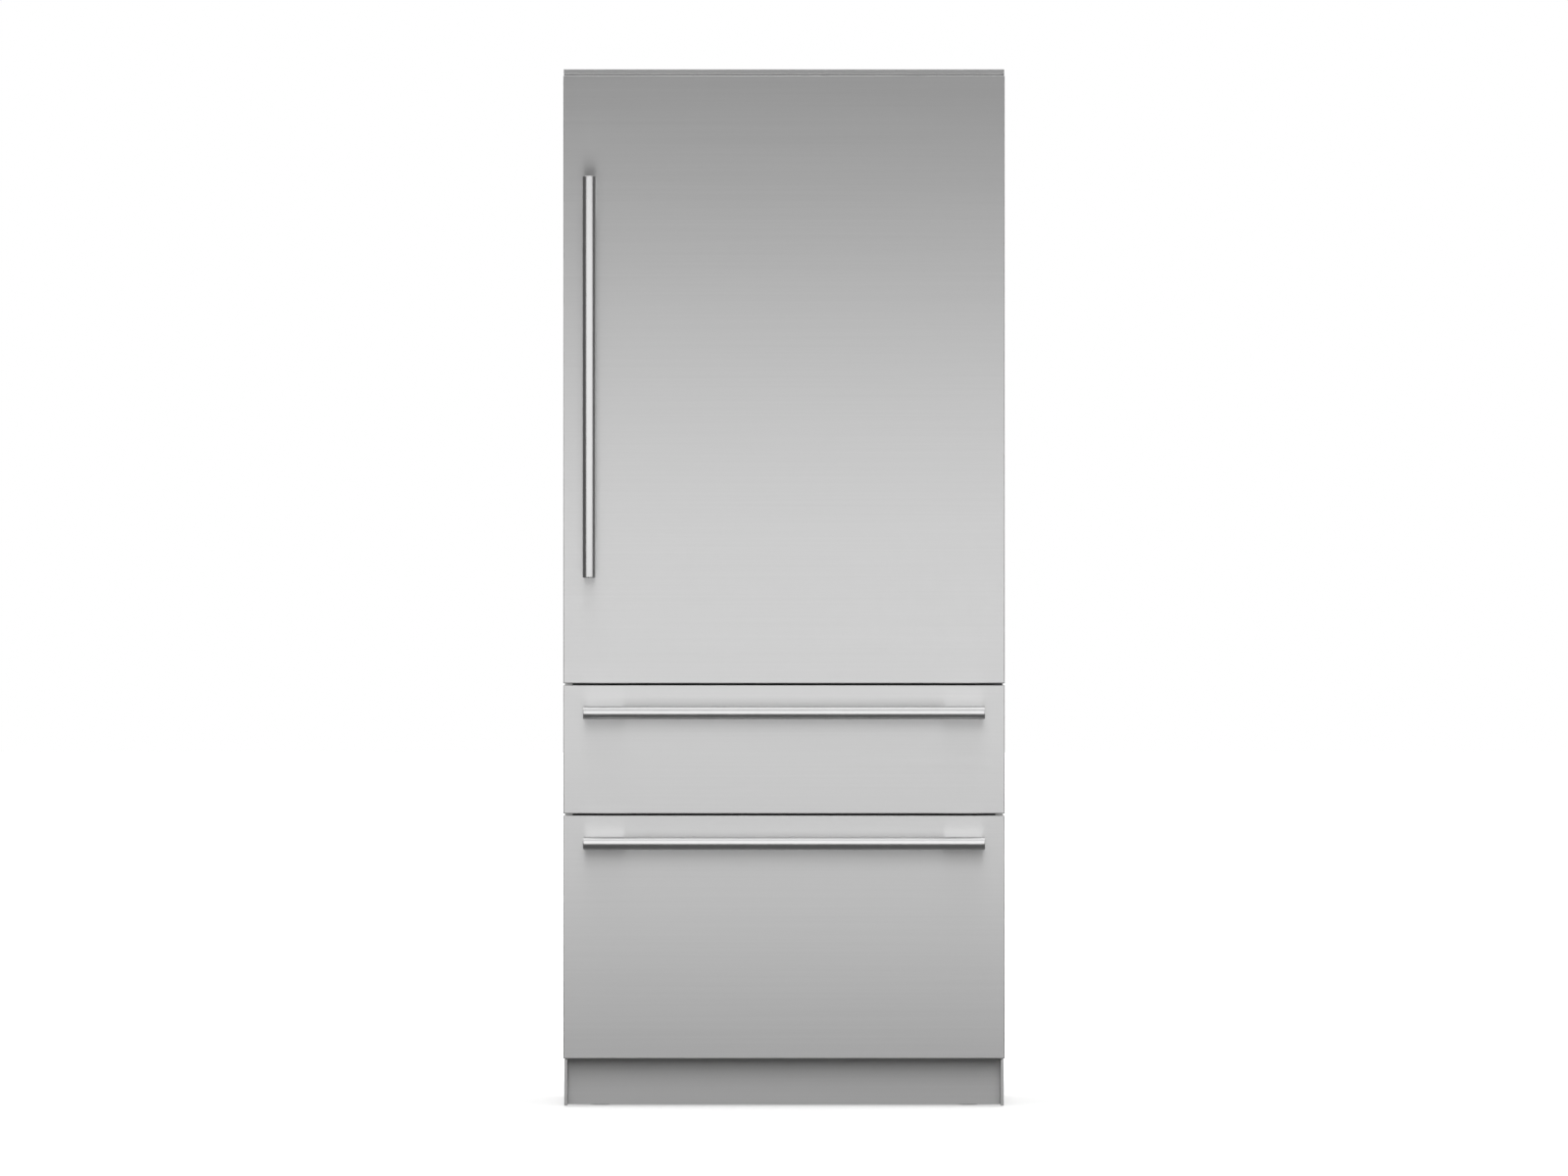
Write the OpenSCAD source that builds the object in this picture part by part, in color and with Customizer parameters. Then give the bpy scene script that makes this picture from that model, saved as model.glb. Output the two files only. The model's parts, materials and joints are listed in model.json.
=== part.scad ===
// Built-in column refrigerator: one tall hinged door over two full-width drawers.
// Millimetres. X runs to the right, Y to the back, Z up.
// The origin is on the floor, under the middle of the whole appliance.

/* [Overall] */
// Width of the cabinet box behind the door and drawer fronts
body_w = 904; // [860:1:960]
// Depth of the cabinet box, without the fronts
cab_depth = 535; // [520:1:600]
// Height of the toe space below the lower drawer front
toe_h = 99; // [90:1:120]
// Height of the lower drawer front
lower_h = 500; // [470:1:540]
// Height of the upper drawer front
upper_h = 264; // [240:1:320]
// Height of the door
door_h = 1250; // [1200:1:1340]
// Gap between one front and the next
front_gap = 4; // [3:0.5:6]
// Height of the trim strip above the door
trim_h = 10.5; // [9:0.5:16]
// Gap between the door and the trim strip
trim_gap = 2.5; // [2:0.5:5]

/* [Fronts] */
// Thickness of the insulated part of a door or drawer front
door_t = 62; // [55:1:75]
// Depth of the folded steel panel on each front
panel_t = 19; // [15:1:24]
// Thickness of the steel sheet of the front panels
panel_sheet = 1.2; // [0.8:0.1:2]
// How far a front panel reaches past the cabinet on each side
panel_lip = 2; // [1:0.5:4]
// Rounding of the front edges of the panels and the trim
edge_r = 2; // [1:0.5:3]
// Space between the back of a front and the cabinet
seal_gap = 12; // [10:0.5:15]
// Width of the gasket
gasket_w = 18; // [14:1:18]
// Distance from the edge of a drawer front to its gasket
gasket_in = 7; // [6:0.5:8]
// Distance from the side of the cabinet to the gaskets
gasket_side = 25; // [22:1:28]

/* [Handles] */
// Diameter of the handle bars
bar_d = 27; // [20:1:32]
// Length of the handle bars
handle_len = 825; // [600:5:860]
// Distance from a panel to the front of its handle bar
handle_reach = 64; // [55:1:75]
// Length of a handle post along the bar
post_len = 80; // [40:5:100]
// Width of a handle post across the bar
post_w = 24; // [12:1:24]
// Distance from the end of the bar to its post
post_in = 4; // [2:1:20]
// Distance from the free side of the door to the middle of its handle
door_handle_in = 54; // [40:1:80]
// Distance from the top of the door to the top of its handle
door_handle_top = 208; // [150:1:350]
// Distance from the top of a drawer front to the middle of its handle
drawer_handle_top = 56; // [40:1:80]

/* [Cabinet walls] */
// Thickness of the side walls
side_wall = 48; // [44:1:55]
// Thickness of the back wall
back_wall = 55; // [45:1:65]
// Thickness of the top wall
top_wall = 60; // [50:1:70]
// Thickness of the bottom wall
bottom_wall = 50; // [40:1:60]
// Height of the walls between the compartments
mullion_h = 60; // [56:1:66]
// Depth of the steel tubes at the front of those walls
mullion_d = 29; // [20:1:40]
// Thickness of the outer steel sheet
sheet = 1.2; // [0.8:0.1:2]
// Thickness of the plastic liners
liner_t = 2.5; // [2:0.1:3.5]
// How deep the back panel sits inside the side panels
back_inset = 2.5; // [2:0.5:6]
// Height of the base above the bottom edge of the lower drawer front
sill_over = 11; // [8:1:16]

/* [Hinges] */
// Diameter of the hinge pins
pin_d = 10; // [8:0.5:12]
// Length of a hinge pin inside the door
pin_len = 22; // [16:1:30]
// Radial clearance between a turning pin and its bore
pin_clear = 0.06; // [0.03:0.01:0.1]
// Wall thickness of a hinge bush
bush_wall = 3; // [2:0.5:4]
// Thickness of the flange of a hinge bush
bush_flange = 2; // [1:0.5:2.5]
// Thickness of the hinge arms and legs
arm_t = 5; // [4:0.5:5]
// Distance from the side of the cabinet to the hinge axis
hinge_in = 12; // [11:0.5:15]
// Distance from the back of the door to the hinge axis
hinge_back = 48; // [46:0.5:49]
// Radius of the round end of a hinge arm
arm_r = 13; // [12:0.5:13.5]
// Free height above and below the insulated part of the door
hinge_room = 9; // [8.5:0.5:10]

/* [Drawers] */
// Free depth behind the runners; their length is the travel of the drawers
runner_back_gap = 52.5; // [30:0.5:90]
// Height of the runners
runner_h = 45; // [36:1:50]
// Thickness of each of the three runner members
runner_t = 4.2; // [3.5:0.1:5]
// Wall thickness of the drawer boxes
box_wall = 3; // [2.5:0.5:5]
// Free depth behind the drawer boxes
box_back_gap = 48.5; // [20:0.5:60]
// Free height above the upper drawer box
box_head = 30; // [20:1:60]
// Height of the lower drawer box
lower_box_h = 300; // [270:5:340]
// Height of the basket in the lower drawer
basket_h = 84; // [60:1:110]
// Length of the basket in the lower drawer
basket_len = 205; // [150:5:230]

/* [Refrigerator interior] */
// Height of the crisper zone above the compartment floor
crisper_zone = 304; // [260:1:330]
// Distance from one shelf to the next
shelf_pitch = 215; // [190:1:230]
// Thickness of the glass shelves
glass_t = 4; // [3:0.5:6]
// Height of a shelf frame
frame_h = 12; // [9:1:16]
// Depth of the air duct behind the back wall cover
duct_d = 40; // [38:1:50]
// Wall thickness of the crispers
crisper_wall = 2.5; // [2:0.5:4]
// Depth of the door bins
bin_depth = 127; // [90:1:130]
// Height of the door bins
bin_h = 105; // [80:1:108]
// Height of the rim around the inside of the door
dike_h = 28; // [15:1:28]

/* [Machine room and base] */
// Depth of the machine room at the bottom of the back
machine_d = 200; // [190:1:215]
// Height of the machine room
machine_h = 270; // [255:1:285]
// Thickness of the insulated wall around the machine room
step_wall = 30; // [25:1:40]
// Free height between the floor and the base
base_clear = 30; // [28:1:33]
// Thickness of the steel of the base
base_t = 2; // [1.5:0.5:3]
// Diameter of the feet and the rollers
foot_d = 44; // [40:1:50]
// Diameter of the screw stem of a foot
stem_d = 10; // [8:1:14]
// Width of the rollers
roller_w = 20; // [14:1:24]
// Diameter of the roller axles
axle_d = 8; // [6:1:10]
// Distance from the panel faces back to the toe plate
toe_recess = 60; // [50:1:80]
// Width of the two end pieces beside the toe plate
toe_end_w = 6.6; // [4:0.2:10]
// Diameter of the compressor
compressor_d = 150; // [120:1:160]
// Diameter of the condenser fan
fan_d = 150; // [120:1:160]

/* [Hidden] */
$fn = 64;

// Small distances
cut = 1;          // how far a cutter reaches past the surface it cuts
slip = 0.3;       // gap between two pieces that slide or lie against each other
joint = 0.5;      // joint between two insulation boards
shy = 2;          // small gap between pieces that don't touch

// Widths
half_w = body_w / 2;
panel_half = half_w + panel_lip;
skin_x = half_w - sheet;
wall_x = half_w - side_wall;
room_x = wall_x - liner_t;
gasket_x = half_w - gasket_side;
hinge_x = half_w - hinge_in;

// Depths, from the front of the handles to the back
depth = cab_depth + seal_gap + door_t + panel_t + handle_reach;
back_y = depth / 2;
front_y = back_y - cab_depth;
seal_y = front_y - seal_gap;
fold_y = seal_y - door_t;
face_y = fold_y - panel_t;
bar_y = face_y - handle_reach + bar_d / 2;
hinge_y = seal_y - hinge_back;
skin_front_y = front_y + sheet;
cover_out_y = back_y - back_inset;
cover_in_y = cover_out_y - sheet;
liner_back_y = back_y - back_wall;
room_back_y = liner_back_y - liner_t;
machine_y = back_y - machine_d;
step_y = machine_y - step_wall;

// Heights of the fronts
lower_z0 = toe_h;
lower_z1 = lower_z0 + lower_h;
upper_z0 = lower_z1 + front_gap;
upper_z1 = upper_z0 + upper_h;
door_z0 = upper_z1 + front_gap;
door_z1 = door_z0 + door_h;
top_z = door_z1 + trim_gap;
total_h = top_z + trim_h;

// Heights of the walls and compartments
base_top = toe_h + sill_over;
floor_z = base_top + bottom_wall;
lower_mullion_z = (lower_z1 + upper_z0 - mullion_h) / 2;
upper_mullion_z = (upper_z1 + door_z0 - mullion_h) / 2;
ceiling_z = top_z - top_wall;
machine_top = base_clear + machine_h;
step_z = machine_top + step_wall;
lower_room_z0 = floor_z + liner_t;
lower_room_z1 = lower_mullion_z - liner_t;
upper_room_z0 = lower_mullion_z + mullion_h + liner_t;
upper_room_z1 = upper_mullion_z - liner_t;
fridge_z0 = upper_mullion_z + mullion_h + liner_t;
fridge_z1 = ceiling_z - liner_t;

// Gaskets and the insulated parts of the fronts
gasket_t = seal_gap - slip;
body_in = 5;                       // drawer front: panel edge to insulated part
door_gasket_in = 10;               // door: panel's lower edge to the gasket
door_gasket_over = 31;             // how far the door's gasket reaches above the ceiling
door_gasket_z0 = door_z0 + door_gasket_in;
door_gasket_z1 = ceiling_z + door_gasket_over;

// Hinges
pin_r = pin_d / 2;
bush_r = pin_r + pin_clear + bush_wall;
bush_len = pin_len + 3;
door_body_z0 = door_z0 + hinge_room;
door_body_z1 = door_z1 - hinge_room;
bottom_arm_z1 = door_body_z0 - bush_flange - slip;
top_arm_z0 = door_body_z1 + bush_flange + slip;
leg_in = 2;                        // distance from the cabinet's side to a hinge leg
leg_w = 55;                        // width of a hinge leg
leg_h = 14.5;                      // height of a hinge leg
arm_left = 38;                     // arm width left of the axis
arm_right = 6;                     // arm width right of the axis

// Runners and drawer boxes
runner_in = 5;                     // distance from the cabinet's front to the runners
runner_y0 = front_y + runner_in;
runner_len = room_back_y - runner_back_gap - runner_y0;
middle_x = room_x - runner_t - slip;
inner_x = middle_x - runner_t - slip;
box_x = inner_x - runner_t;
upper_runner_up = 100;             // upper compartment: floor to the middle of the runners
lower_runner_up = 70;              // lower compartment: raised floor to the middle of the runners
upper_runner_z = upper_room_z0 + upper_runner_up;
lower_runner_z = step_z + liner_t + lower_runner_up;
member_step = 7;                   // how much lower each member is than the one around it
middle_h = runner_h - member_step;
inner_h = middle_h - member_step;
box_lift = 8;                      // free height below a drawer box
upper_box_z0 = upper_room_z0 + box_lift;
upper_box_z1 = upper_room_z1 - box_head;
lower_box_z0 = lower_room_z0 + box_lift;
lower_box_z1 = lower_box_z0 + lower_box_h;
box_step_y = step_y - liner_t - box_lift;
box_step_z = step_z + liner_t + box_lift;
box_back_y = room_back_y - box_back_gap;
rim_t = 4;                         // thickness of the rims of boxes and crispers
basket_gap = 8;                    // free width around the basket
basket_y0 = seal_y + box_wall + basket_gap;
basket_x = box_x - box_wall - basket_gap;

// Interior of the refrigerator compartment
crisper_top = fridge_z0 + crisper_zone;
shelf_count = 3;
duct_y = room_back_y - duct_d;
cover_t = 2.5;                     // thickness of the duct cover
motor_len = 11;                    // length of the cooling fan's motor
cooling_z = crisper_top + shelf_pitch / 2;
track_t = 4;
track_w = 16;
track_in = 32;                     // distance from the side to the middle of a track
track_x = room_x - track_in;
shelf_gap = 11;                    // free depth between the door bins and the shelves
shelf_y0 = seal_y + liner_t + bin_depth + shelf_gap;
shelf_y1 = duct_y - track_t;
shelf_in = 16;                     // distance from the side to a shelf
shelf_x = room_x - shelf_in;
frame_w = 14;                      // width of the bars of a shelf frame
glass_in = 8;                      // distance from the frame's edge to the glass
rail_t = 4;                        // thickness of the crisper rails
rail_drop = 28;                    // distance from the crisper cover down to the rails
rail_z = crisper_top - frame_h - rail_drop;
rail_w = 8;                        // how far a crisper rail reaches out
crisper_in = 5;                    // how far the crispers stand behind the shelf fronts
crisper_back_gap = 3.5;
crisper_lift = 8;                  // free height below the crispers
crisper_y0 = shelf_y0 + crisper_in;
crisper_y1 = duct_y - crisper_back_gap;
crisper_z0 = fridge_z0 + crisper_lift;
crisper_z1 = rail_z + rail_t + slip + rim_t;
web_t = 2.4;                       // thickness of the middle crisper rail's web
side_gap = 1;                      // sideways play of a crisper on its rails
control_h = 30;
control_x = 150;
control_in = 30;                   // distance from the cabinet's front to the control panel
control_d = 100;
control_y0 = front_y + control_in;
control_y1 = control_y0 + control_d;
light_in = 40;                     // distance from the cabinet's front to the light bars
light_w = 18;
light_t = 6;
light_lift = 30;                   // distance from the crisper cover up to the light bars
light_drop = 70;                   // distance from the ceiling down to the light bars
light_y0 = front_y + light_in;
light_z0 = crisper_top + light_lift;
light_z1 = fridge_z1 - light_drop;

// Inside of the door
door_liner_y = seal_y + liner_t;
dike_gap = 17.5;                   // free space between the rim and the compartment
dike_x = room_x - dike_gap;
dike_w = 24;
dike_z0 = fridge_z0 + dike_gap;
dike_z1 = fridge_z1 - dike_gap;
bin_x = dike_x - dike_w;
bin_y = door_liner_y + bin_depth;
bin_lift = 20;                     // distance from the crisper cover up to the lowest bin
bin_z0 = crisper_top + bin_lift;
bin_count = 3;
bin_wall = 3;
bin_pitch = (dike_z1 - dike_w - slip - bin_h - bin_z0) / bin_count;
dairy_z0 = bin_z0 + bin_count * bin_pitch;
dairy_z1 = dairy_z0 + bin_h;
dairy_lip = 22;                    // height of the fixed front lip of the dairy box
lid_t = 3;
lid_pin_r = 2.5;
lid_in = 1;                        // how far the lid lies behind the dairy box's lip
lid_drop = 8;                      // distance from the top of the dairy box to the lid's axis
lid_y = bin_y - bin_wall - lid_in;
lid_z = dairy_z1 - lid_drop;

// Base, feet and rollers
foot_in = 72;                      // distance from the side to the middle of a foot
foot_back = 45;                    // distance from the front to the feet, and from the back to the rollers
foot_x = half_w - foot_in;
foot_y = front_y + foot_back;
foot_h = 8;
foot_boss_r = 14;
beam_d = 78;                       // depth of the front beam of the base
roller_y = back_y - foot_back;
roller_r = foot_d / 2;
cheek_t = 3;
cheek_gap = 1;
cheek_r = 10;
well_gap = 3;                      // free space around a roller in its well
toe_y = face_y + toe_recess;
toe_z0 = 3;
toe_z1 = toe_h - shy;

// Machine room
pan_z = base_clear + base_t;       // top of the machine room floor
middle_y = (machine_y + cover_in_y) / 2;
compressor_in = 220.8;             // distance from the side panel to the middle of the compressor
foot_wing = 15;                    // how far the compressor's foot plate reaches past its shell
compressor_x = skin_x - compressor_in;
condenser_in = 160.8;              // distance from the side panel to the middle of the condenser
condenser_x = condenser_in - skin_x;
condenser_t = 70;
plate_t = 2;                       // sheet of the small plates in the machine room
shroud_x = condenser_x + condenser_t / 2 + plate_t;
fan_r = fan_d / 2;
fan_lift = 16;                     // free height below the condenser fan
fan_z = pan_z + fan_r + fan_lift;
fan_shaft_r = 3;
fan_gap = 3;                       // radial gap around the condenser fan
motor_out = 34;                    // distance from the shroud to the condenser fan's motor
motor_t = 30;                      // length of that motor
fan_end_x = shroud_x + motor_out + motor_t;
compressor_x0 = compressor_x - compressor_d / 2 - foot_wing;
valve_in = 104.8;                  // distance from the side panel to the water nipple
valve_x = skin_x - valve_in;
valve_up = 90;                     // height of the water nipple above the machine room's floor
valve_z = pan_z + valve_up;
nipple_r = 6.35;
inlet_in = 65.8;                   // distance from the side panel to the power inlet
inlet_x = inlet_in - skin_x;
inlet_z = valve_z + 2;
inlet_w = 30;
inlet_h = 24;
screw_r = 4;
screw_h = 2;

// Box between two corners.
module block(from, to) {
    translate(from) cube(to - from);
}

// Box that runs from side to side, centred on X.
module span(half, y0, y1, z0, z1) {
    block([-half, y0, z0], [half, y1, z1]);
}

// A piece and its mirror image on the other side.
module both_sides() {
    children();
    mirror([1, 0, 0]) children();
}

// Flat outline, depth along x and length along y, with its two front corners rounded.
module round_front(length, thickness, r) {
    translate([r, 0]) square([thickness - r, length]);
    translate([0, r]) square([r, length - 2 * r]);
    for (v = [r, length - r]) translate([r, v]) circle(r);
}

// Rectangle with four rounded corners, centred.
module round_rect(w, h, r) {
    square([w - 2 * r, h], center = true);
    square([w, h - 2 * r], center = true);
    for (u = [-1, 1], v = [-1, 1]) translate([u * (w / 2 - r), v * (h / 2 - r)]) circle(r);
}

// Block from (y0, z0) to (y1, z1) whose front edges, all four, are rounded.
module round_slab(half, y0, y1, z0, z1, r) {
    intersection() {
        translate([-half, y0, z0])
            rotate([90, 0, 90])
            linear_extrude(2 * half)
            round_front(z1 - z0, y1 - y0, r);
        translate([-half, y0, z0])
            linear_extrude(z1 - z0)
            mirror([1, -1, 0])
            round_front(2 * half, y1 - y0, r);
    }
}

// Ring of a rectangular section that lies around an opening and faces the front.
module ring(half, bar, y0, y1, z0, z1) {
    difference() {
        span(half, y0, y1, z0, z1);
        span(half - bar, y0 - cut, y1 + cut, z0 + bar, z1 - bar);
    }
}

// Folded steel panel on a front, open to the back.
module front_panel(z0, z1) {
    color("silver") difference() {
        round_slab(panel_half, face_y, fold_y, z0, z1, edge_r);
        translate([0, face_y + panel_sheet, 0])
            span(panel_half - panel_sheet, 0, fold_y - face_y, z0 + panel_sheet, z1 - panel_sheet);
    }
}

// Insulated part of a front: it fills the panel and carries the gasket.
module front_body(z0, z1, body_z0, body_z1) {
    span(panel_half - panel_sheet, face_y + panel_sheet, fold_y, z0 + panel_sheet, z1 - panel_sheet);
    span(half_w, fold_y, seal_y, body_z0, body_z1);
}

module gasket(z0, z1) {
    color("dimgray") ring(gasket_x, gasket_w, seal_y, seal_y + gasket_t, z0, z1);
}

// Bar handle along Z, centred, with the panel's face at y = 0.
module handle() {
    end_r = 2;
    post_r = 3;
    color("silver") {
        translate([0, bar_y - face_y, -handle_len / 2])
            rotate_extrude() {
                square([bar_d / 2 - end_r, handle_len]);
                translate([0, end_r]) square([bar_d / 2, handle_len - 2 * end_r]);
                for (v = [end_r, handle_len - end_r])
                    translate([bar_d / 2 - end_r, v]) circle(end_r);
            }
        for (s = [-1, 1])
            translate([0, 0, s * (handle_len / 2 - post_in - post_len / 2)])
                rotate([90, 0, 0])
                linear_extrude(face_y - bar_y)
                round_rect(post_w, post_len, post_r);
    }
}

// ---------------------------------------------------------------- cabinet

module side_panels() {
    color("gainsboro") both_sides() {
        block([skin_x, front_y, base_clear], [half_w, back_y, top_z]);
        block([wall_x, front_y, base_clear], [skin_x, skin_front_y, top_z]);
    }
}

module top_panel() {
    color("gainsboro") {
        span(skin_x, skin_front_y, cover_out_y, top_z - sheet, top_z);
        span(wall_x, front_y, skin_front_y, ceiling_z, top_z);
    }
}

module back_panel() {
    color("lightgray") span(skin_x, cover_in_y, cover_out_y, machine_top, top_z - sheet);
}

module machine_cover() {
    rows = 4;
    columns = 8;
    end_gap = 146.8;
    slot_gap = 16;
    slot_h = 6;
    slot_pitch = 2 * (skin_x - end_gap) / columns;
    slot_w = slot_pitch - slot_gap;
    row_pitch = 34;
    valve_hole_r = 16;
    slot_x = -slot_pitch * (columns - 1) / 2;
    slot_z = fan_z - row_pitch * (rows - 1) / 2;
    color("lightgray") difference() {
        span(skin_x, cover_in_y, cover_out_y, pan_z, machine_top);
        for (row = [0 : rows - 1], column = [0 : columns - 1])
            translate([slot_x + column * slot_pitch - slot_w / 2, cover_in_y - cut, slot_z + row * row_pitch])
                cube([slot_w, sheet + 2 * cut, slot_h]);
        translate([valve_x, cover_in_y - cut, valve_z])
            rotate([-90, 0, 0])
            cylinder(r = valve_hole_r, h = sheet + 2 * cut);
        translate([inlet_x, cover_in_y - cut, inlet_z - inlet_h / 2])
            span(inlet_w / 2, 0, sheet + 2 * cut, 0, inlet_h);
    }
}

module top_trim() {
    wall = 1.5;
    overhang = 1;
    trim_in = 2;
    trim_back = 70;
    trim_y0 = face_y + trim_in;
    trim_y1 = front_y + trim_back;
    color("silver") difference() {
        round_slab(half_w + overhang, trim_y0, trim_y1, top_z, total_h, edge_r);
        span(half_w + overhang - wall, trim_y0 + wall, trim_y1 - wall, top_z - cut, total_h - wall);
    }
}

module toe_kick() {
    lip = 15;
    color("silver") {
        span(half_w - toe_end_w, toe_y, toe_y + sheet, toe_z0, toe_z1);
        span(half_w - toe_end_w, toe_y + sheet, front_y, toe_z1 - sheet, toe_z1);
        span(half_w - toe_end_w, toe_y + sheet, toe_y + lip, toe_z0, toe_z0 + sheet);
    }
}

module toe_ends() {
    end_r = 1.2;
    color("silver") both_sides()
        translate([half_w - toe_end_w / 2, 0, 0])
        round_slab(toe_end_w / 2, face_y + end_r, front_y, toe_z0, toe_z1, end_r);
}

module base_tray() {
    rail_x = skin_x - base_t;
    beam_y = skin_front_y + beam_d;
    well_w = roller_w + 2 * (cheek_gap + cheek_t);
    well_half = roller_r + well_gap;
    color("slategray") difference() {
        union() {
            span(wall_x, front_y, skin_front_y, base_clear, floor_z);
            span(rail_x, skin_front_y, beam_y, base_top - base_t, base_top);
            span(rail_x, beam_y, beam_y + base_t, base_clear, base_top);
            span(skin_x, machine_y, machine_y + base_t, base_clear, base_top);
            span(rail_x, machine_y + base_t, cover_in_y, base_clear, pan_z);
            both_sides() {
                block([rail_x, skin_front_y, base_clear], [skin_x, cover_in_y, base_top]);
                block([wall_x, beam_y, base_top - base_t], [rail_x, machine_y, base_top]);
                translate([foot_x, foot_y, base_clear]) cylinder(r = foot_boss_r, h = base_top - base_clear);
                for (s = [-1, 1]) translate([foot_x + s * (well_w - cheek_t) / 2, roller_y, 0]) {
                    rotate([0, 90, 0])
                        translate([-roller_r, 0, -cheek_t / 2])
                        cylinder(r = cheek_r, h = cheek_t);
                    block([-cheek_t / 2, -cheek_r, roller_r], [cheek_t / 2, cheek_r, pan_z]);
                }
            }
        }
        both_sides() {
            translate([foot_x, foot_y, base_clear - cut])
                cylinder(r = stem_d / 2 + pin_clear, h = base_top - base_clear + 2 * cut);
            translate([foot_x - well_w / 2, roller_y, roller_r])
                rotate([0, 90, 0])
                translate([0, 0, -cut])
                cylinder(r = axle_d / 2 + pin_clear, h = well_w + 2 * cut);
            translate([foot_x, roller_y, base_clear])
                span(well_w / 2 - cheek_t, -well_half, well_half, -cut, base_t + cut);
        }
    }
}

module insulation() {
    color("khaki") {
        both_sides() {
            block([wall_x, skin_front_y, machine_top], [skin_x, cover_in_y, top_z - sheet]);
            block([wall_x, skin_front_y, floor_z + joint], [skin_x, machine_y, machine_top - joint]);
        }
        span(skin_x, skin_front_y, machine_y, base_top, floor_z);
        span(wall_x - joint, liner_back_y, cover_in_y, step_z + joint, ceiling_z - joint);
        span(wall_x - joint, skin_front_y, cover_in_y, ceiling_z, top_z - sheet);
        for (z = [lower_mullion_z, upper_mullion_z])
            span(wall_x - joint, front_y + mullion_d, liner_back_y - joint, z, z + mullion_h);
        span(wall_x - joint, step_y, cover_in_y, machine_top, step_z);
        span(wall_x - joint, step_y, machine_y, floor_z + joint, machine_top - joint);
    }
}

// Plastic tub with an open front.
module tub(y1, z0, z1) {
    difference() {
        span(wall_x, front_y, y1, z0, z1);
        span(room_x, front_y - cut, y1 - liner_t, z0 + liner_t, z1 - liner_t);
    }
}

module fridge_liner() {
    color("white") tub(liner_back_y, upper_mullion_z + mullion_h, ceiling_z);
}

module drawer_liners() {
    color("white") {
        tub(liner_back_y, lower_mullion_z + mullion_h, upper_mullion_z);
        difference() {
            union() {
                span(wall_x, front_y, liner_back_y, step_z, lower_mullion_z);
                span(wall_x, front_y, step_y, floor_z, step_z);
            }
            span(room_x, front_y - cut, room_back_y, step_z + liner_t, lower_room_z1);
            span(room_x, front_y - cut, step_y - liner_t, lower_room_z0, lower_room_z1);
        }
    }
}

module mullions() {
    color("gainsboro") for (z = [lower_mullion_z, upper_mullion_z]) difference() {
        span(wall_x, front_y, front_y + mullion_d, z, z + mullion_h);
        span(wall_x + cut, skin_front_y, front_y + mullion_d - sheet, z + sheet, z + mullion_h - sheet);
    }
}

module soffit_brackets() {
    plate = 3;
    bracket_side = 202;
    foot_x0 = half_w - bracket_side;
    rise_x = foot_x0 + 40;
    end_x = rise_x + 50;
    bracket_in = 200;
    bracket_y = front_y + bracket_in;
    bracket_half = 40;
    bracket_y0 = bracket_y - bracket_half;
    bracket_y1 = bracket_y + bracket_half;
    hole_x = rise_x + 28;
    hole_half = 24;
    hole_r = 3.2;
    color("slategray") both_sides() difference() {
        union() {
            block([foot_x0, bracket_y0, top_z], [rise_x, bracket_y1, top_z + plate]);
            block([rise_x - plate, bracket_y0, top_z], [rise_x, bracket_y1, total_h]);
            block([rise_x - plate, bracket_y0, total_h - plate], [end_x, bracket_y1, total_h]);
        }
        for (s = [-1, 1])
            translate([hole_x, bracket_y + s * hole_half, total_h - plate - cut])
                cylinder(r = hole_r, h = plate + 2 * cut);
    }
}

module cabinet_screws() {
    edge = 12;
    slot_w = 1;
    slot_deep = 0.8;
    slot_half = screw_r * 0.6;
    columns = [-1, 0, 1];
    back_rows = [machine_top + edge, (machine_top + top_z) / 2, top_z - edge];
    cover_rows = [pan_z + edge, machine_top - edge];
    module screw(x, z) {
        translate([x, cover_out_y, z]) rotate([-90, 0, 0]) difference() {
            cylinder(r = screw_r, h = screw_h);
            for (turn = [0, 90])
                rotate(turn)
                block([-slot_half, -slot_w / 2, screw_h - slot_deep], [slot_half, slot_w / 2, screw_h + cut]);
        }
    }
    color("dimgray") {
        for (c = columns, z = back_rows) screw(c * (skin_x - edge), z);
        for (c = columns, z = cover_rows) screw(c * (skin_x - edge), z);
    }
}

module water_valve() {
    body_half = 14;
    body_d = 20;
    plate = 2;
    coil_r = 8;
    coil_h = 24;
    nut_t = 4;
    nipple_len = 22;
    body_y1 = back_y - nipple_len - shy;
    body_y0 = body_y1 - body_d;
    color("white") {
        translate([valve_x, 0, 0]) {
            block([-body_half, body_y0 - plate, pan_z], [body_half, body_y0, valve_z + body_half]);
            block([-body_half, body_y0, valve_z - body_half], [body_half, body_y1, valve_z + body_half]);
            translate([0, (body_y0 + body_y1) / 2, valve_z + body_half]) cylinder(r = coil_r, h = coil_h);
        }
        translate([valve_x, body_y1, valve_z]) rotate([-90, 0, 0]) {
            cylinder(r = nipple_r + 3, h = nut_t, $fn = 6);
            cylinder(r = nipple_r, h = nipple_len);
        }
    }
}

module power_inlet() {
    wall = 3;
    body_d = 24;
    recess_d = 18;
    blade_t = 2;
    blade_h = 4;
    blade_len = 14;
    blade_pitch = 7;
    blade_rise = 2;
    recess_y = cover_out_y - recess_d;
    color("black") translate([inlet_x, 0, inlet_z]) {
        difference() {
            span(inlet_w / 2, cover_out_y - body_d, cover_out_y, -inlet_h / 2, inlet_h / 2);
            span(inlet_w / 2 - wall, recess_y, cover_out_y + cut, wall - inlet_h / 2, inlet_h / 2 - wall);
        }
        for (i = [-1 : 1])
            translate([i * blade_pitch, 0, i == 0 ? blade_rise : -blade_rise])
                span(blade_t / 2, recess_y, recess_y + blade_len, -blade_h / 2, blade_h / 2);
    }
}

// ---------------------------------------------------------------- hinges

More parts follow.
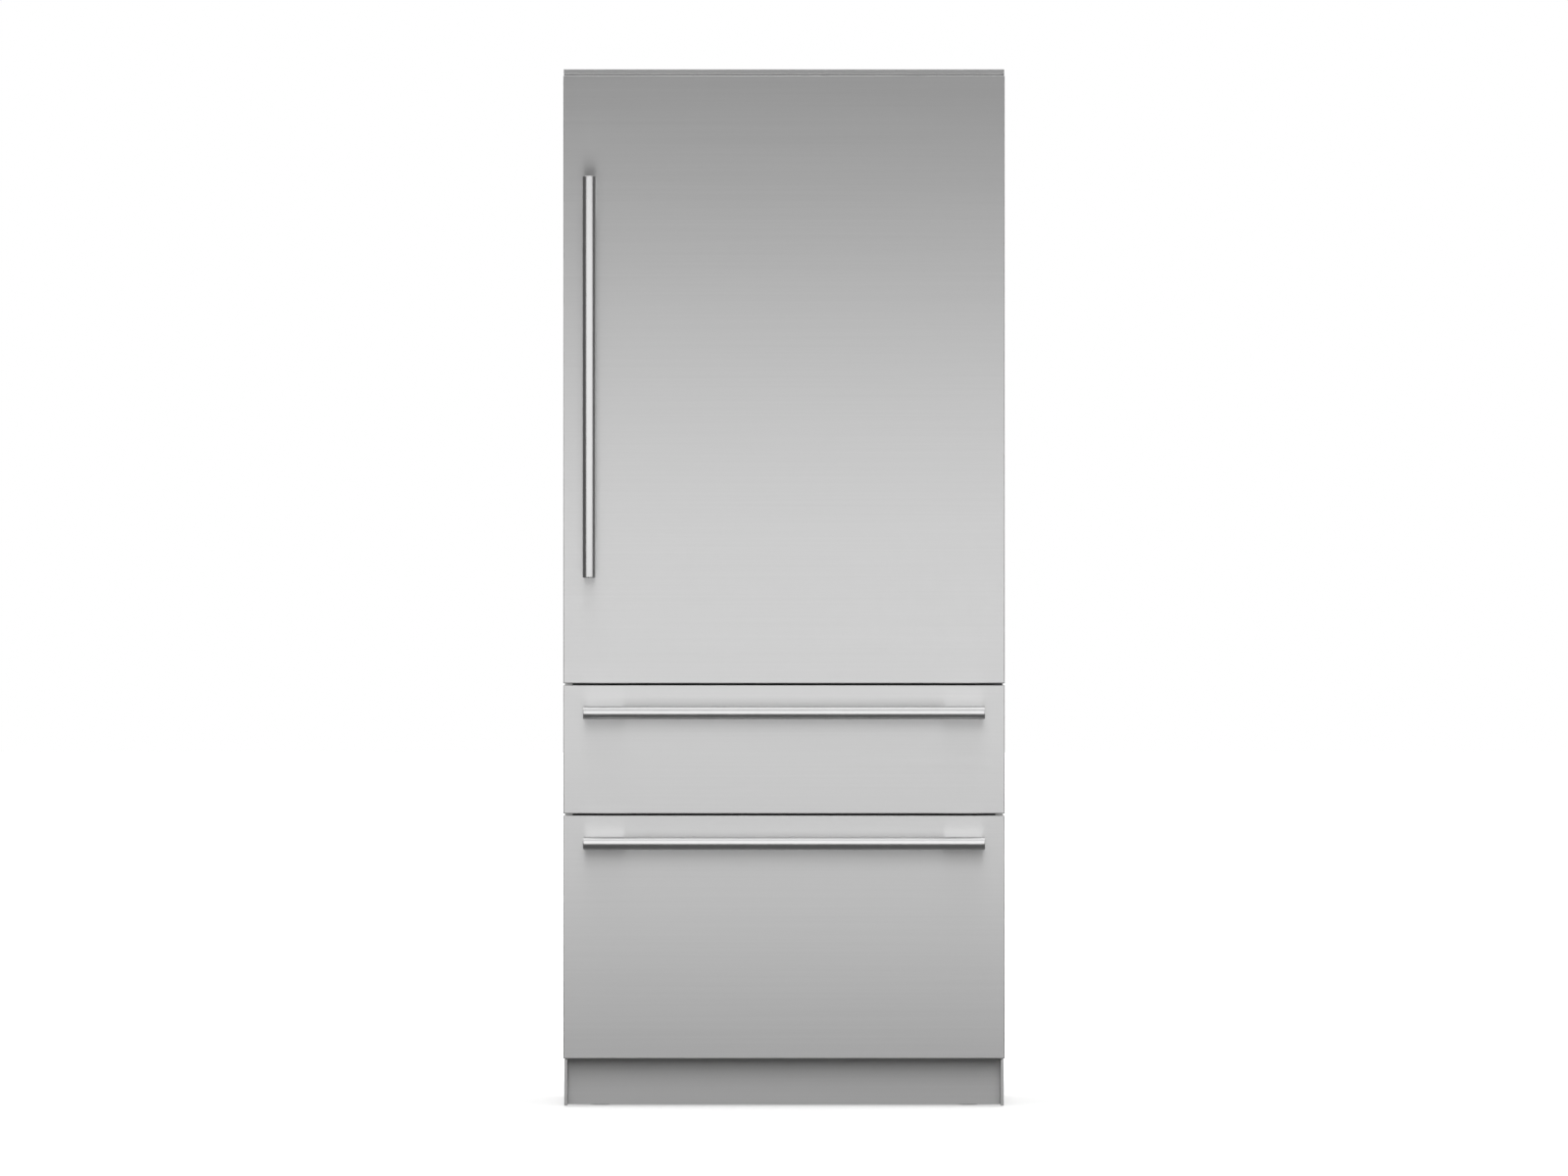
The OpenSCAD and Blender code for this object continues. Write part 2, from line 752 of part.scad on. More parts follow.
module hinge_arm(z0) {
    translate([hinge_x, hinge_y, z0]) cylinder(r = arm_r, h = arm_t);
    block([hinge_x - arm_left, hinge_y, z0], [hinge_x + arm_right, front_y, z0 + arm_t]);
}

module hinge_leg(z0) {
    block([half_w - leg_in - leg_w, front_y - arm_t, z0], [half_w - leg_in, front_y, z0 + leg_h]);
}

module hinge_brackets() {
    color("dimgray") {
        hinge_arm(bottom_arm_z1 - arm_t);
        hinge_leg(bottom_arm_z1 - leg_h);
        translate([hinge_x, hinge_y, bottom_arm_z1]) cylinder(r = pin_r, h = pin_len);
        hinge_arm(top_arm_z0);
        hinge_leg(top_arm_z0 + arm_t - leg_h);
        translate([hinge_x, hinge_y, top_arm_z0 - pin_len]) cylinder(r = pin_r, h = pin_len);
    }
}

// Flanged tube for a hinge pin, flange down, its tube above z = 0.
module bush() {
    difference() {
        union() {
            translate([0, 0, -bush_flange]) cylinder(r = bush_r + bush_wall, h = bush_flange);
            cylinder(r = bush_r, h = bush_len);
        }
        translate([0, 0, -bush_flange - cut])
            cylinder(r = pin_r + pin_clear, h = bush_len + bush_flange + 2 * cut);
    }
}

module hinge_bushes() {
    color("ivory") translate([hinge_x, hinge_y, 0]) {
        translate([0, 0, door_body_z0]) bush();
        translate([0, 0, door_body_z1]) mirror([0, 0, 1]) bush();
    }
}

// ---------------------------------------------------------------- refrigerator interior

module control_panel() {
    corner_r = 4;
    lens_x = 60;
    lens_in = 8;
    lens_deep = 1;
    buttons = 3;
    button_r = 5;
    button_t = 1.5;
    button_x = 82;
    button_pitch = 22;
    control_z0 = fridge_z1 - control_h;
    color("whitesmoke") {
        difference() {
            round_slab(control_x, control_y0, control_y1, control_z0, fridge_z1, corner_r);
            span(lens_x, control_y0 - cut, control_y0 + lens_deep, control_z0 + lens_in, fridge_z1 - lens_in);
        }
        for (s = [-1, 1], i = [0 : buttons - 1])
            translate([s * (button_x + i * button_pitch), control_y0, fridge_z1 - control_h / 2])
                rotate([90, 0, 0])
                cylinder(r = button_r, h = button_t);
    }
}

module light_bars() {
    color("white") both_sides()
        block([room_x - light_t, light_y0, light_z0], [room_x, light_y0 + light_w, light_z1]);
}

module duct_cover() {
    slot_w = 64;
    slot_h = 5;
    slot_pitch = slot_w + 20;
    row_pitch = 14;
    row_place = 0.62;
    intake_up = 6;
    motor_r = 20;
    bore_in = 2;
    color("whitesmoke") difference() {
        union() {
            difference() {
                span(room_x, duct_y, room_back_y, fridge_z0, fridge_z1);
                translate([0, duct_y + cover_t, 0])
                    span(room_x - cover_t, 0, room_back_y - duct_y, fridge_z0 + cover_t, fridge_z1 - cover_t);
            }
            translate([0, duct_y + cover_t, cooling_z])
                rotate([-90, 0, 0])
                cylinder(r = motor_r, h = motor_len);
        }
        for (bay = [1 : shelf_count], side = [-1, 0, 1], row = [0, 1])
            translate([side * 2 * slot_pitch, duct_y - cut, crisper_top + (bay + row_place) * shelf_pitch])
                span(slot_w / 2, 0, cover_t + 2 * cut, row * row_pitch, row * row_pitch + slot_h);
        for (column = [-3 : 3])
            translate([column * slot_pitch, 0, crisper_z0 + intake_up])
                span(slot_w / 2, duct_y - cut, duct_y + cover_t + cut, 0, slot_h);
        translate([0, duct_y + cover_t + bore_in, cooling_z])
            rotate([-90, 0, 0])
            cylinder(r = fan_shaft_r + pin_clear, h = motor_len);
    }
}

module cooling_fan() {
    blades = 7;
    blade_r = 58;
    blade_w = 32;
    blade_t = 1.6;
    blade_tilt = 28;
    root = 3;
    hub_r = 19;
    hub_t = 14;
    hub_gap = 1;
    shaft_in = 8;
    color("gray")
        translate([0, duct_y + cover_t + motor_len + hub_gap, cooling_z])
        rotate([-90, 0, 0]) {
            cylinder(r = hub_r, h = hub_t);
            translate([0, 0, -hub_gap - shaft_in]) cylinder(r = fan_shaft_r, h = hub_gap + shaft_in + root);
            intersection() {
                cylinder(r = blade_r, h = hub_t);
                for (i = [0 : blades - 1]) rotate(i * 360 / blades)
                    translate([hub_r - root, 0, hub_t / 2])
                    rotate([blade_tilt, 0, 0])
                    translate([0, -blade_w / 2, -blade_t / 2])
                    cube([blade_r, blade_w, blade_t]);
            }
        }
}

module evaporator() {
    coil_in = 101.5;
    coil_x = room_x - coil_in;
    coil_up = 30;
    coil_h = 210;
    coil_gap = 6;
    fins = 40;
    fin_t = 0.6;
    fin_in = 4;
    tube_rows = 6;
    tube_r = 4;
    fin_pitch = 2 * coil_x / fins;
    coil_y0 = duct_y + cover_t + coil_gap;
    coil_z0 = fridge_z0 + coil_up;
    coil_z1 = coil_z0 + coil_h;
    color("lightsteelblue") {
        both_sides()
            block([coil_x, coil_y0, coil_z0 - fin_in], [coil_x + plate_t, room_back_y, coil_z1 + fin_in]);
        for (i = [1 : fins - 1])
            translate([i * fin_pitch - coil_x, 0, 0])
                span(fin_t / 2, coil_y0 + fin_in / 2, room_back_y - fin_in, coil_z0, coil_z1);
        for (row = [0 : tube_rows - 1])
            translate([-coil_x, (coil_y0 + room_back_y) / 2, coil_z0 + (row + 0.5) * coil_h / tube_rows])
                rotate([0, 90, 0])
                cylinder(r = tube_r, h = 2 * coil_x);
    }
}

module shelf_tracks() {
    slot_w = 4;
    slot_h = 12;
    slot_pitch = 25;
    end_gap = 10;
    web = 1;
    track_up = 8;
    track_down = 40;
    track_z0 = crisper_top + track_up;
    track_z1 = fridge_z1 - track_down;
    color("silver") both_sides() translate([track_x, 0, 0]) difference() {
        span(track_w / 2, duct_y - track_t, duct_y, track_z0, track_z1);
        for (z = [track_z0 + end_gap : slot_pitch : track_z1 - end_gap - slot_h])
            span(slot_w / 2, duct_y - track_t - cut, duct_y - web, z, z + slot_h);
    }
}

// Frame around a glass shelf whose top is at z, with a seat for the glass.
module shelf_frame(half, z) {
    nose_r = 3;
    difference() {
        intersection() {
            span(half, shelf_y0, shelf_y1, z - frame_h, z);
            translate([-half, shelf_y0, z - frame_h])
                rotate([90, 0, 90])
                linear_extrude(2 * half)
                round_front(frame_h, shelf_y1 - shelf_y0, nose_r);
        }
        span(half - frame_w, shelf_y0 + frame_w, shelf_y1 - frame_w, z - frame_h - cut, z + cut);
        span(half - glass_in, shelf_y0 + glass_in, shelf_y1 - glass_in, z - glass_t, z + cut);
    }
}

module shelf_frames() {
    arm_in = 20;
    arm_y0 = shelf_y0 + arm_in;
    arm_h = 30;
    arm_tip = 8;
    arm_w = 3;
    color("gainsboro") {
        shelf_frame(room_x, crisper_top);
        translate([0, 0, crisper_top])
            span(frame_w / 2, shelf_y0 + frame_w, shelf_y1 - frame_w, -frame_h, -glass_t);
        for (i = [1 : shelf_count]) {
            z = crisper_top + i * shelf_pitch;
            shelf_frame(shelf_x, z);
            both_sides()
                translate([track_x - arm_w / 2, 0, z - frame_h])
                rotate([90, 0, 90])
                linear_extrude(arm_w)
                polygon([[arm_y0, 0], [shelf_y1, 0], [shelf_y1, -arm_h], [arm_y0, -arm_tip]]);
        }
    }
}

module shelf_glass() {
    color("lightcyan") {
        span(room_x - glass_in, shelf_y0 + glass_in, shelf_y1 - glass_in, crisper_top - glass_t, crisper_top);
        for (i = [1 : shelf_count])
            translate([0, 0, crisper_top + i * shelf_pitch])
                span(shelf_x - glass_in, shelf_y0 + glass_in, shelf_y1 - glass_in, -glass_t, 0);
    }
}

module crisper_rails() {
    rail_in = 10;
    rail_y0 = shelf_y0 + rail_in;
    color("white") {
        both_sides() block([room_x - rail_w, rail_y0, rail_z], [room_x, duct_y, rail_z + rail_t]);
        span(web_t / 2, rail_y0, shelf_y1 - frame_w, rail_z, crisper_top - frame_h);
        span(rail_w, rail_y0, shelf_y1 - frame_w, rail_z, rail_z + rail_t);
    }
}

// Right-hand crisper: a clear box that hangs on the rails by its rim.
module crisper() {
    rim_x0 = web_t / 2 + side_gap;
    rim_x1 = room_x - side_gap;
    box_x0 = rail_w + side_gap;
    box_x1 = room_x - rail_w - side_gap;
    front_t = 4;
    rim_in = 12;
    grip_w = 160;
    grip_h = 16;
    grip_t = 4;
    grip_r = 6;
    grip_drop = 24;
    difference() {
        union() {
            block([box_x0, crisper_y0, crisper_z0], [box_x1, crisper_y1, crisper_z1]);
            block([rim_x0, crisper_y0 + rim_in, crisper_z1 - rim_t], [rim_x1, crisper_y1, crisper_z1]);
            translate([(box_x0 + box_x1) / 2, crisper_y0, crisper_z1 - grip_drop])
                rotate([90, 0, 0])
                linear_extrude(grip_t)
                round_rect(grip_w, grip_h, grip_r);
        }
        block(
            [box_x0 + crisper_wall, crisper_y0 + front_t, crisper_z0 + crisper_wall],
            [box_x1 - crisper_wall, crisper_y1 - crisper_wall, crisper_z1 + cut]
        );
    }
}

module right_crisper() {
    color("aliceblue") crisper();
}

module left_crisper() {
    color("aliceblue") mirror([1, 0, 0]) crisper();
}

// ---------------------------------------------------------------- door

module door_panel() {
    front_panel(door_z0, door_z1);
}

module door_body() {
    color("whitesmoke") difference() {
        front_body(door_z0, door_z1, door_body_z0, door_body_z1);
        translate([hinge_x, hinge_y, door_body_z0 - cut]) cylinder(r = bush_r, h = bush_len + cut);
        translate([hinge_x, hinge_y, door_body_z1 - bush_len]) cylinder(r = bush_r, h = bush_len + cut);
    }
}

module door_liner() {
    edge = 1;
    sheet_z0 = door_gasket_z0 + gasket_w + edge;
    sheet_z1 = door_gasket_z1 - gasket_w - edge;
    color("white") {
        span(gasket_x - gasket_w - edge, seal_y, door_liner_y, sheet_z0, sheet_z1);
        ring(dike_x, dike_w, door_liner_y, door_liner_y + dike_h, dike_z0, dike_z1);
    }
}

module door_gasket() {
    gasket(door_gasket_z0, door_gasket_z1);
}

// Open bin on the door whose floor is at z.
module bin(z, h) {
    difference() {
        span(bin_x, door_liner_y, bin_y, z, z + h);
        span(bin_x - bin_wall, door_liner_y + bin_wall, bin_y - bin_wall, z + bin_wall, z + h + cut);
    }
}

module door_bins() {
    color("aliceblue") {
        for (i = [0 : bin_count - 1]) bin(bin_z0 + i * bin_pitch, bin_h);
        difference() {
            span(bin_x, door_liner_y, bin_y, dairy_z0, dairy_z1);
            translate([0, door_liner_y + bin_wall, 0])
                span(bin_x - bin_wall, 0, bin_depth, dairy_z0 + bin_wall, dairy_z1 - bin_wall);
            translate([-bin_x - cut, lid_y, lid_z])
                rotate([0, 90, 0])
                cylinder(r = lid_pin_r + pin_clear, h = 2 * (bin_x + cut));
        }
        span(bin_x, bin_y - bin_wall, bin_y, dairy_z0, dairy_z0 + dairy_lip);
    }
}

// Lid that closes the dairy box and turns up about its top edge.
module dairy_lid() {
    end_gap = 0.6;
    tab_x = 60;
    tab_y = 6;
    tab_h = 4;
    lid_x = bin_x - bin_wall - end_gap;
    lid_z0 = dairy_z0 + dairy_lip + shy;
    color("aliceblue") {
        block([-lid_x, lid_y - lid_t / 2, lid_z0], [lid_x, lid_y + lid_t / 2, lid_z]);
        translate([-bin_x, lid_y, lid_z]) rotate([0, 90, 0]) cylinder(r = lid_pin_r, h = 2 * bin_x);
        translate([0, lid_y + lid_t / 2, lid_z0]) span(tab_x, 0, tab_y, 0, tab_h);
    }
}

module door_handle() {
    translate([-(panel_half - door_handle_in), face_y, door_z1 - door_handle_top - handle_len / 2]) handle();
}

// ---------------------------------------------------------------- drawers

// Pair of runner members whose outer faces are at x.
module runner_pair(x, z, h) {
    hole_r = 2.5;
    both_sides() difference() {
        block([x - runner_t, runner_y0, z - h / 2], [x, runner_y0 + runner_len, z + h / 2]);
        for (part = [0.2, 0.5, 0.8])
            translate([x - runner_t - cut, runner_y0 + part * runner_len, z])
                rotate([0, 90, 0])
                cylinder(r = hole_r, h = runner_t + 2 * cut);
    }
}

module runner_outers() {
    color("lightsteelblue") {
        runner_pair(room_x, upper_runner_z, runner_h);
        runner_pair(room_x, lower_runner_z, runner_h);
    }
}

module upper_runner_middle() {
    color("lightsteelblue") runner_pair(middle_x, upper_runner_z, middle_h);
}

module lower_runner_middle() {
    color("lightsteelblue") runner_pair(middle_x, lower_runner_z, middle_h);
}

module upper_runner_inner() {
    color("lightsteelblue") runner_pair(inner_x, upper_runner_z, inner_h);
}

module lower_runner_inner() {
    color("lightsteelblue") runner_pair(inner_x, lower_runner_z, inner_h);
}

module drawer_handle(z1) {
    translate([0, face_y, z1 - drawer_handle_top]) rotate([0, 90, 0]) handle();
}

module upper_front_panel() {
    front_panel(upper_z0, upper_z1);
}

module upper_front_body() {
    color("whitesmoke") front_body(upper_z0, upper_z1, upper_z0 + body_in, upper_z1 - body_in);
}

module upper_gasket() {
    gasket(upper_z0 + gasket_in, upper_z1 - gasket_in);
}

module upper_handle() {
    drawer_handle(upper_z1);
}

module upper_box() {
    color("whitesmoke") difference() {
        span(box_x, seal_y, box_back_y, upper_box_z0, upper_box_z1);
        translate([0, 0, upper_box_z0 + box_wall])
            span(box_x - box_wall, seal_y + box_wall, box_back_y - box_wall, 0, upper_box_z1 - upper_box_z0);
    }
}

module lower_front_panel() {
    front_panel(lower_z0, lower_z1);
}

module lower_front_body() {
    color("whitesmoke") front_body(lower_z0, lower_z1, lower_z0 + body_in, lower_z1 - body_in);
}

module lower_gasket() {
    gasket(lower_z0 + gasket_in, lower_z1 - gasket_in);
}

module lower_handle() {
    drawer_handle(lower_z1);
}

// Deep box whose back half is raised over the machine room.
module lower_box() {
    in_x = box_x - box_wall;
    color("whitesmoke") difference() {
        union() {
            span(box_x, seal_y, box_step_y, lower_box_z0, lower_box_z1);
            span(box_x, seal_y, box_back_y, box_step_z, lower_box_z1);
        }
        span(in_x, seal_y + box_wall, box_step_y - box_wall, lower_box_z0 + box_wall, lower_box_z1 + cut);
        span(in_x, seal_y + box_wall, box_back_y - box_wall, box_step_z + box_wall, lower_box_z1 + cut);
    }
}

// Shallow basket that hangs in the lower box by its rims and slides along it.
module lower_basket() {
    wall = 2.5;
    rest = 0.5;
    slots = 9;
    slot_h = 8;
    slot_up = 14;
    slot_gap = 26;
    slot_pitch = 2 * (basket_x - slot_gap) / slots;
    slot_half = (slot_pitch - slot_gap) / 2;
    basket_y1 = basket_y0 + basket_len;
    basket_z1 = lower_box_z1 + slip + rim_t;
    basket_z0 = basket_z1 - basket_h;
    color("aliceblue") difference() {
        union() {
            span(basket_x, basket_y0, basket_y1, basket_z0, basket_z1);
            span(box_x - rest, basket_y0, basket_y1, basket_z1 - rim_t, basket_z1);
        }
        span(basket_x - wall, basket_y0 + wall, basket_y1 - wall, basket_z0 + wall, basket_z1 + cut);
        for (i = [0 : slots - 1])
            translate([(i - (slots - 1) / 2) * slot_pitch, 0, basket_z0 + slot_up])
                block([-slot_half, basket_y0 - cut, 0], [slot_half, basket_y1 + cut, slot_h]);
    }
}

// ---------------------------------------------------------------- machine room

module compressor() {
    r = compressor_d / 2;
    edge = 22;
    shell_h = 165;
    foot_plate = 3;
    foot_side = 5;
    grommet_r = 10;
    grommet_h = 8;
    grommet_y = r - 22;
    box_half = 22;
    box_out = 12;
    box_up = 60;
    box_h = 50;
    tube_r = 4;
    tube_x = 30;
    tube_y = 20;
    tube_len = 22;
    plate_z = pan_z + grommet_h;
    shell_z = plate_z + foot_plate;
    color("black") translate([compressor_x, middle_y, 0]) {
        translate([0, 0, shell_z]) rotate_extrude() {
            square([r - edge, shell_h]);
            translate([0, edge]) square([r, shell_h - 2 * edge]);
            for (v = [edge, shell_h - edge]) translate([r - edge, v]) intersection() {
                circle(edge);
                translate([0, -edge]) square([edge, 2 * edge]);
            }
        }
        block([-r - foot_wing, foot_side - r, plate_z], [r + foot_wing, r - foot_side, shell_z]);
        for (u = [-1, 1], v = [-1, 1])
            translate([u * r, v * grommet_y, pan_z]) cylinder(r = grommet_r, h = grommet_h);
        block([-r - box_out, -box_half, plate_z + box_up], [box_out - r, box_half, plate_z + box_up + box_h]);
        translate([tube_x, tube_y, shell_z + shell_h - plate_t]) cylinder(r = tube_r, h = tube_len);
    }
}

module condenser() {
    fins = 18;
    fin_t = 0.6;
    fin_up = 6;
    tube_rows = 5;
    tube_r = 4;
    tube_x = 16;
    front_gap_y = 14;
    back_gap_y = 12;
    plate_over = 10;
    motor_r = 24;
    strut_half = 14;
    bore_deep = 16;
    coil_y0 = machine_y + front_gap_y;
    coil_y1 = cover_in_y - back_gap_y;
    coil_z1 = pan_z + 2 * fan_r + fan_lift;
    coil_x0 = condenser_x - condenser_t / 2;
    coil_x1 = condenser_x + condenser_t / 2;
    fin_pitch = (coil_y1 - coil_y0) / fins;
    tube_pitch = (coil_z1 - pan_z - fin_up) / tube_rows;
    motor_x = shroud_x + motor_out;
    color("dimgray") difference() {
        union() {
            for (y = [coil_y0, coil_y1 - plate_t])
                block([coil_x0, y, pan_z], [shroud_x, y + plate_t, coil_z1 + plate_over]);
            for (i = [1 : fins - 1])
                translate([0, coil_y0 + i * fin_pitch - fin_t / 2, 0])
                    block([coil_x0, 0, pan_z + fin_up], [coil_x1, fin_t, coil_z1]);
            for (row = [0 : tube_rows - 1], side = [-1, 1])
                translate([condenser_x + side * tube_x, coil_y0, pan_z + fin_up + (row + 0.5) * tube_pitch])
                    rotate([-90, 0, 0])
                    cylinder(r = tube_r, h = coil_y1 - coil_y0);
            block([shroud_x, coil_y0, pan_z], [shroud_x + plate_t, coil_y1, coil_z1 + plate_over]);
            block([motor_x, middle_y - strut_half, pan_z], [motor_x + plate_t, middle_y + strut_half, fan_z]);
            translate([motor_x, middle_y, fan_z]) rotate([0, 90, 0]) cylinder(r = motor_r, h = motor_t);
        }
        translate([shroud_x - cut, middle_y, fan_z])
            rotate([0, 90, 0])
            cylinder(r = fan_r + fan_gap, h = plate_t + 2 * cut);
        translate([motor_x - cut, middle_y, fan_z])
            rotate([0, 90, 0])
            cylinder(r = fan_shaft_r + pin_clear, h = bore_deep + cut);
    }
}

module condenser_fan() {
    blades = 5;
    blade_w = 44;
    blade_t = 1.8;
    blade_tilt = 30;
    root = 3;
    hub_r = 20;
    hub_t = 20;
    hub_in = 10;
    shaft_len = 36;
    color("gray") translate([shroud_x + hub_in, middle_y, fan_z]) rotate([0, 90, 0]) {
        cylinder(r = hub_r, h = hub_t);
        cylinder(r = fan_shaft_r, h = shaft_len);
        intersection() {
            cylinder(r = fan_r - root, h = hub_t);
            for (i = [0 : blades - 1]) rotate(i * 360 / blades)
                translate([hub_r - root, 0, hub_t / 2])
                rotate([blade_tilt, 0, 0])
                translate([0, -blade_w / 2, -blade_t / 2])
                cube([fan_r, blade_w, blade_t]);
        }
    }
}

module drip_pan() {
    wall = 2;
    pan_x = (fan_end_x + compressor_x0) / 2;
    pan_half = (compressor_x0 - fan_end_x) / 3;
    pan_gap = 20;
    pan_h = 40;
    pan_y0 = machine_y + pan_gap;
    pan_y1 = cover_in_y - pan_gap;
    color("black") translate([pan_x, 0, 0]) difference() {
        span(pan_half, pan_y0, pan_y1, pan_z, pan_z + pan_h);
        span(pan_half - wall, pan_y0 + wall, pan_y1 - wall, pan_z + wall, pan_z + pan_h + cut);
    }
}

// ---------------------------------------------------------------- feet and rollers

module foot() {
    chamfer = 2;
    stem_in = 4;
    nut_wall = 4;
    nut_h = 8;
    translate([foot_x, foot_y, 0]) {
        cylinder(r1 = foot_d / 2 - chamfer, r2 = foot_d / 2, h = chamfer);
        translate([0, 0, chamfer]) cylinder(r = foot_d / 2, h = foot_h - chamfer);
        cylinder(r = stem_d / 2, h = base_top - stem_in);
        translate([0, 0, foot_h]) cylinder(r = stem_d / 2 + nut_wall, h = nut_h, $fn = 6);
    }
}

module front_foot_right() {
    color("black") foot();
}

module front_foot_left() {
    color("black") mirror([1, 0, 0]) foot();
}

module roller() {
    tyre = 4;
    recess = 3;
    hub_r = axle_d / 2 + 3;
    axle_len = roller_w + 2 * (cheek_gap + cheek_t) + shy;
    translate([foot_x, roller_y, roller_r]) rotate([0, 90, 0]) {
        translate([0, 0, -roller_w / 2]) difference() {
            cylinder(r = roller_r, h = roller_w);
            for (z = [-cut, roller_w - recess]) translate([0, 0, z]) difference() {
                cylinder(r = roller_r - tyre, h = recess + cut);
                translate([0, 0, -cut]) cylinder(r = hub_r, h = recess + 3 * cut);
            }
        }
        translate([0, 0, -axle_len / 2]) cylinder(r = axle_d / 2, h = axle_len);
    }
}

module rear_roller_right() {
    color("dimgray") roller();
}

module rear_roller_left() {
    color("dimgray") mirror([1, 0, 0]) roller();
}

side_panels();
top_panel();
back_panel();
machine_cover();
top_trim();
toe_kick();
toe_ends();
base_tray();
insulation();
fridge_liner();
drawer_liners();
mullions();
control_panel();
light_bars();
duct_cover();
evaporator();
shelf_tracks();
shelf_frames();
shelf_glass();
crisper_rails();
hinge_brackets();
soffit_brackets();
runner_outers();
compressor();
condenser();
drip_pan();
water_valve();
power_inlet();
cabinet_screws();
condenser_fan();
cooling_fan();
rear_roller_left();
rear_roller_right();
front_foot_left();
front_foot_right();
left_crisper();
right_crisper();
upper_runner_middle();
lower_runner_middle();
lower_basket();
dairy_lid();
door_panel();
door_body();
door_liner();
door_gasket();
door_bins();
door_handle();
hinge_bushes();
upper_front_panel();
upper_front_body();
upper_gasket();
upper_handle();
upper_box();
upper_runner_inner();
lower_front_panel();
lower_front_body();
lower_gasket();
lower_handle();
lower_box();
lower_runner_inner();
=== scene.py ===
"""Built-in refrigerator with a door over two drawers: finishes, moulded details, lamps and camera."""

import json
import math

import bmesh
import bpy
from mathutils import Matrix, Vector


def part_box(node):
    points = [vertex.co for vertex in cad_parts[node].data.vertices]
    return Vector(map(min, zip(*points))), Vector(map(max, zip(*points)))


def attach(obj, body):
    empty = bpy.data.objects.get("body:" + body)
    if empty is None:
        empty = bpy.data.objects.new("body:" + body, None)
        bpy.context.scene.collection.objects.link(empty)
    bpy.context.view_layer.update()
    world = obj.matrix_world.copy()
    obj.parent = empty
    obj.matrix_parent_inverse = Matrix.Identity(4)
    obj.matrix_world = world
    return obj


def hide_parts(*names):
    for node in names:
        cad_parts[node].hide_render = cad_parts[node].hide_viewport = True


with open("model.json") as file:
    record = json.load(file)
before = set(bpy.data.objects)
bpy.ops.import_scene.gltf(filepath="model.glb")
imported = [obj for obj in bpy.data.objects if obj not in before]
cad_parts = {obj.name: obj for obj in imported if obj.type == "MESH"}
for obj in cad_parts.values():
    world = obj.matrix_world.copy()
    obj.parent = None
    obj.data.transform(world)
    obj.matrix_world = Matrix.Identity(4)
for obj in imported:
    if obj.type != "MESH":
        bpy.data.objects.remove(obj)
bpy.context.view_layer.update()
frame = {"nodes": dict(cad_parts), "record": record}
scene = bpy.context.scene
NODES = frame["nodes"]
MM = 0.001
SIDES = (-1, 1)

# ---------------------------------------------------------------- material building

NOISE_LOW = 0.3                    # nearly all of a noise lies between these two values
NOISE_HIGH = 0.7
COLOUR_A = 6                       # sockets of the Mix node when it mixes colours
COLOUR_B = 7
COLOUR_RESULT = 2


def material(name):
    """New node material: the material, its tree and its principled shader."""
    mat = bpy.data.materials.new(name)
    mat.use_nodes = True
    shader = mat.node_tree.nodes["Principled BSDF"]
    return mat, mat.node_tree, shader


def add(tree, kind, **values):
    """Node of one kind; values set its properties, or its inputs by name."""
    node = tree.nodes.new("ShaderNode" + kind)
    for key, value in values.items():
        if hasattr(node, key):
            setattr(node, key, value)
        else:
            node.inputs[key.replace("_", " ")].default_value = value
    return node


def coordinates(tree, stretch):
    """Object coordinates in metres, times a factor along each axis."""
    place = add(tree, "TexCoord")
    mapping = add(tree, "Mapping", Scale=stretch)
    tree.links.new(place.outputs["Object"], mapping.inputs["Vector"])
    return mapping.outputs["Vector"]


def noise(tree, stretch, detail=2.0):
    """Fractal noise between 0 and 1, with `stretch` grains to the metre along each axis."""
    tex = add(tree, "TexNoise", Scale=1.0, Detail=detail, Roughness=0.5)
    tree.links.new(coordinates(tree, stretch), tex.inputs["Vector"])
    return tex.outputs["Fac"]


def spangle(tree, per_metre):
    """Zinc crystals: a random value for each cell."""
    tex = add(tree, "TexVoronoi", Scale=per_metre)
    tree.links.new(coordinates(tree, (1, 1, 1)), tex.inputs["Vector"])
    return tex.outputs["Color"]


def map_range(tree, value, start, end, low, high, **settings):
    """Value between start and end, mapped to low and high."""
    node = add(tree, "MapRange", **settings)
    for name, number in (("From Min", start), ("From Max", end), ("To Min", low), ("To Max", high)):
        node.inputs[name].default_value = number
    tree.links.new(value, node.inputs["Value"])
    return node.outputs["Result"]


def spread(tree, value, low, high):
    """Noise spread over low to high."""
    return map_range(tree, value, NOISE_LOW, NOISE_HIGH, low, high)


def tint(tree, value, dark, light):
    """Colour between dark and light, picked by a noise."""
    node = add(tree, "Mix", data_type="RGBA")
    node.inputs[COLOUR_A].default_value = (*dark, 1)
    node.inputs[COLOUR_B].default_value = (*light, 1)
    tree.links.new(spread(tree, value, 0, 1), node.inputs["Factor"])
    return node.outputs[COLOUR_RESULT]


def bump(tree, height, depth):
    """Normal of a relief `depth` metres high."""
    node = add(tree, "Bump", Strength=1.0, Distance=depth)
    tree.links.new(height, node.inputs["Height"])
    return node.outputs["Normal"]


def scaled(colour, factor):
    """Colour that is lighter or darker by a factor."""
    return tuple(min(1.0, channel * factor) for channel in colour)


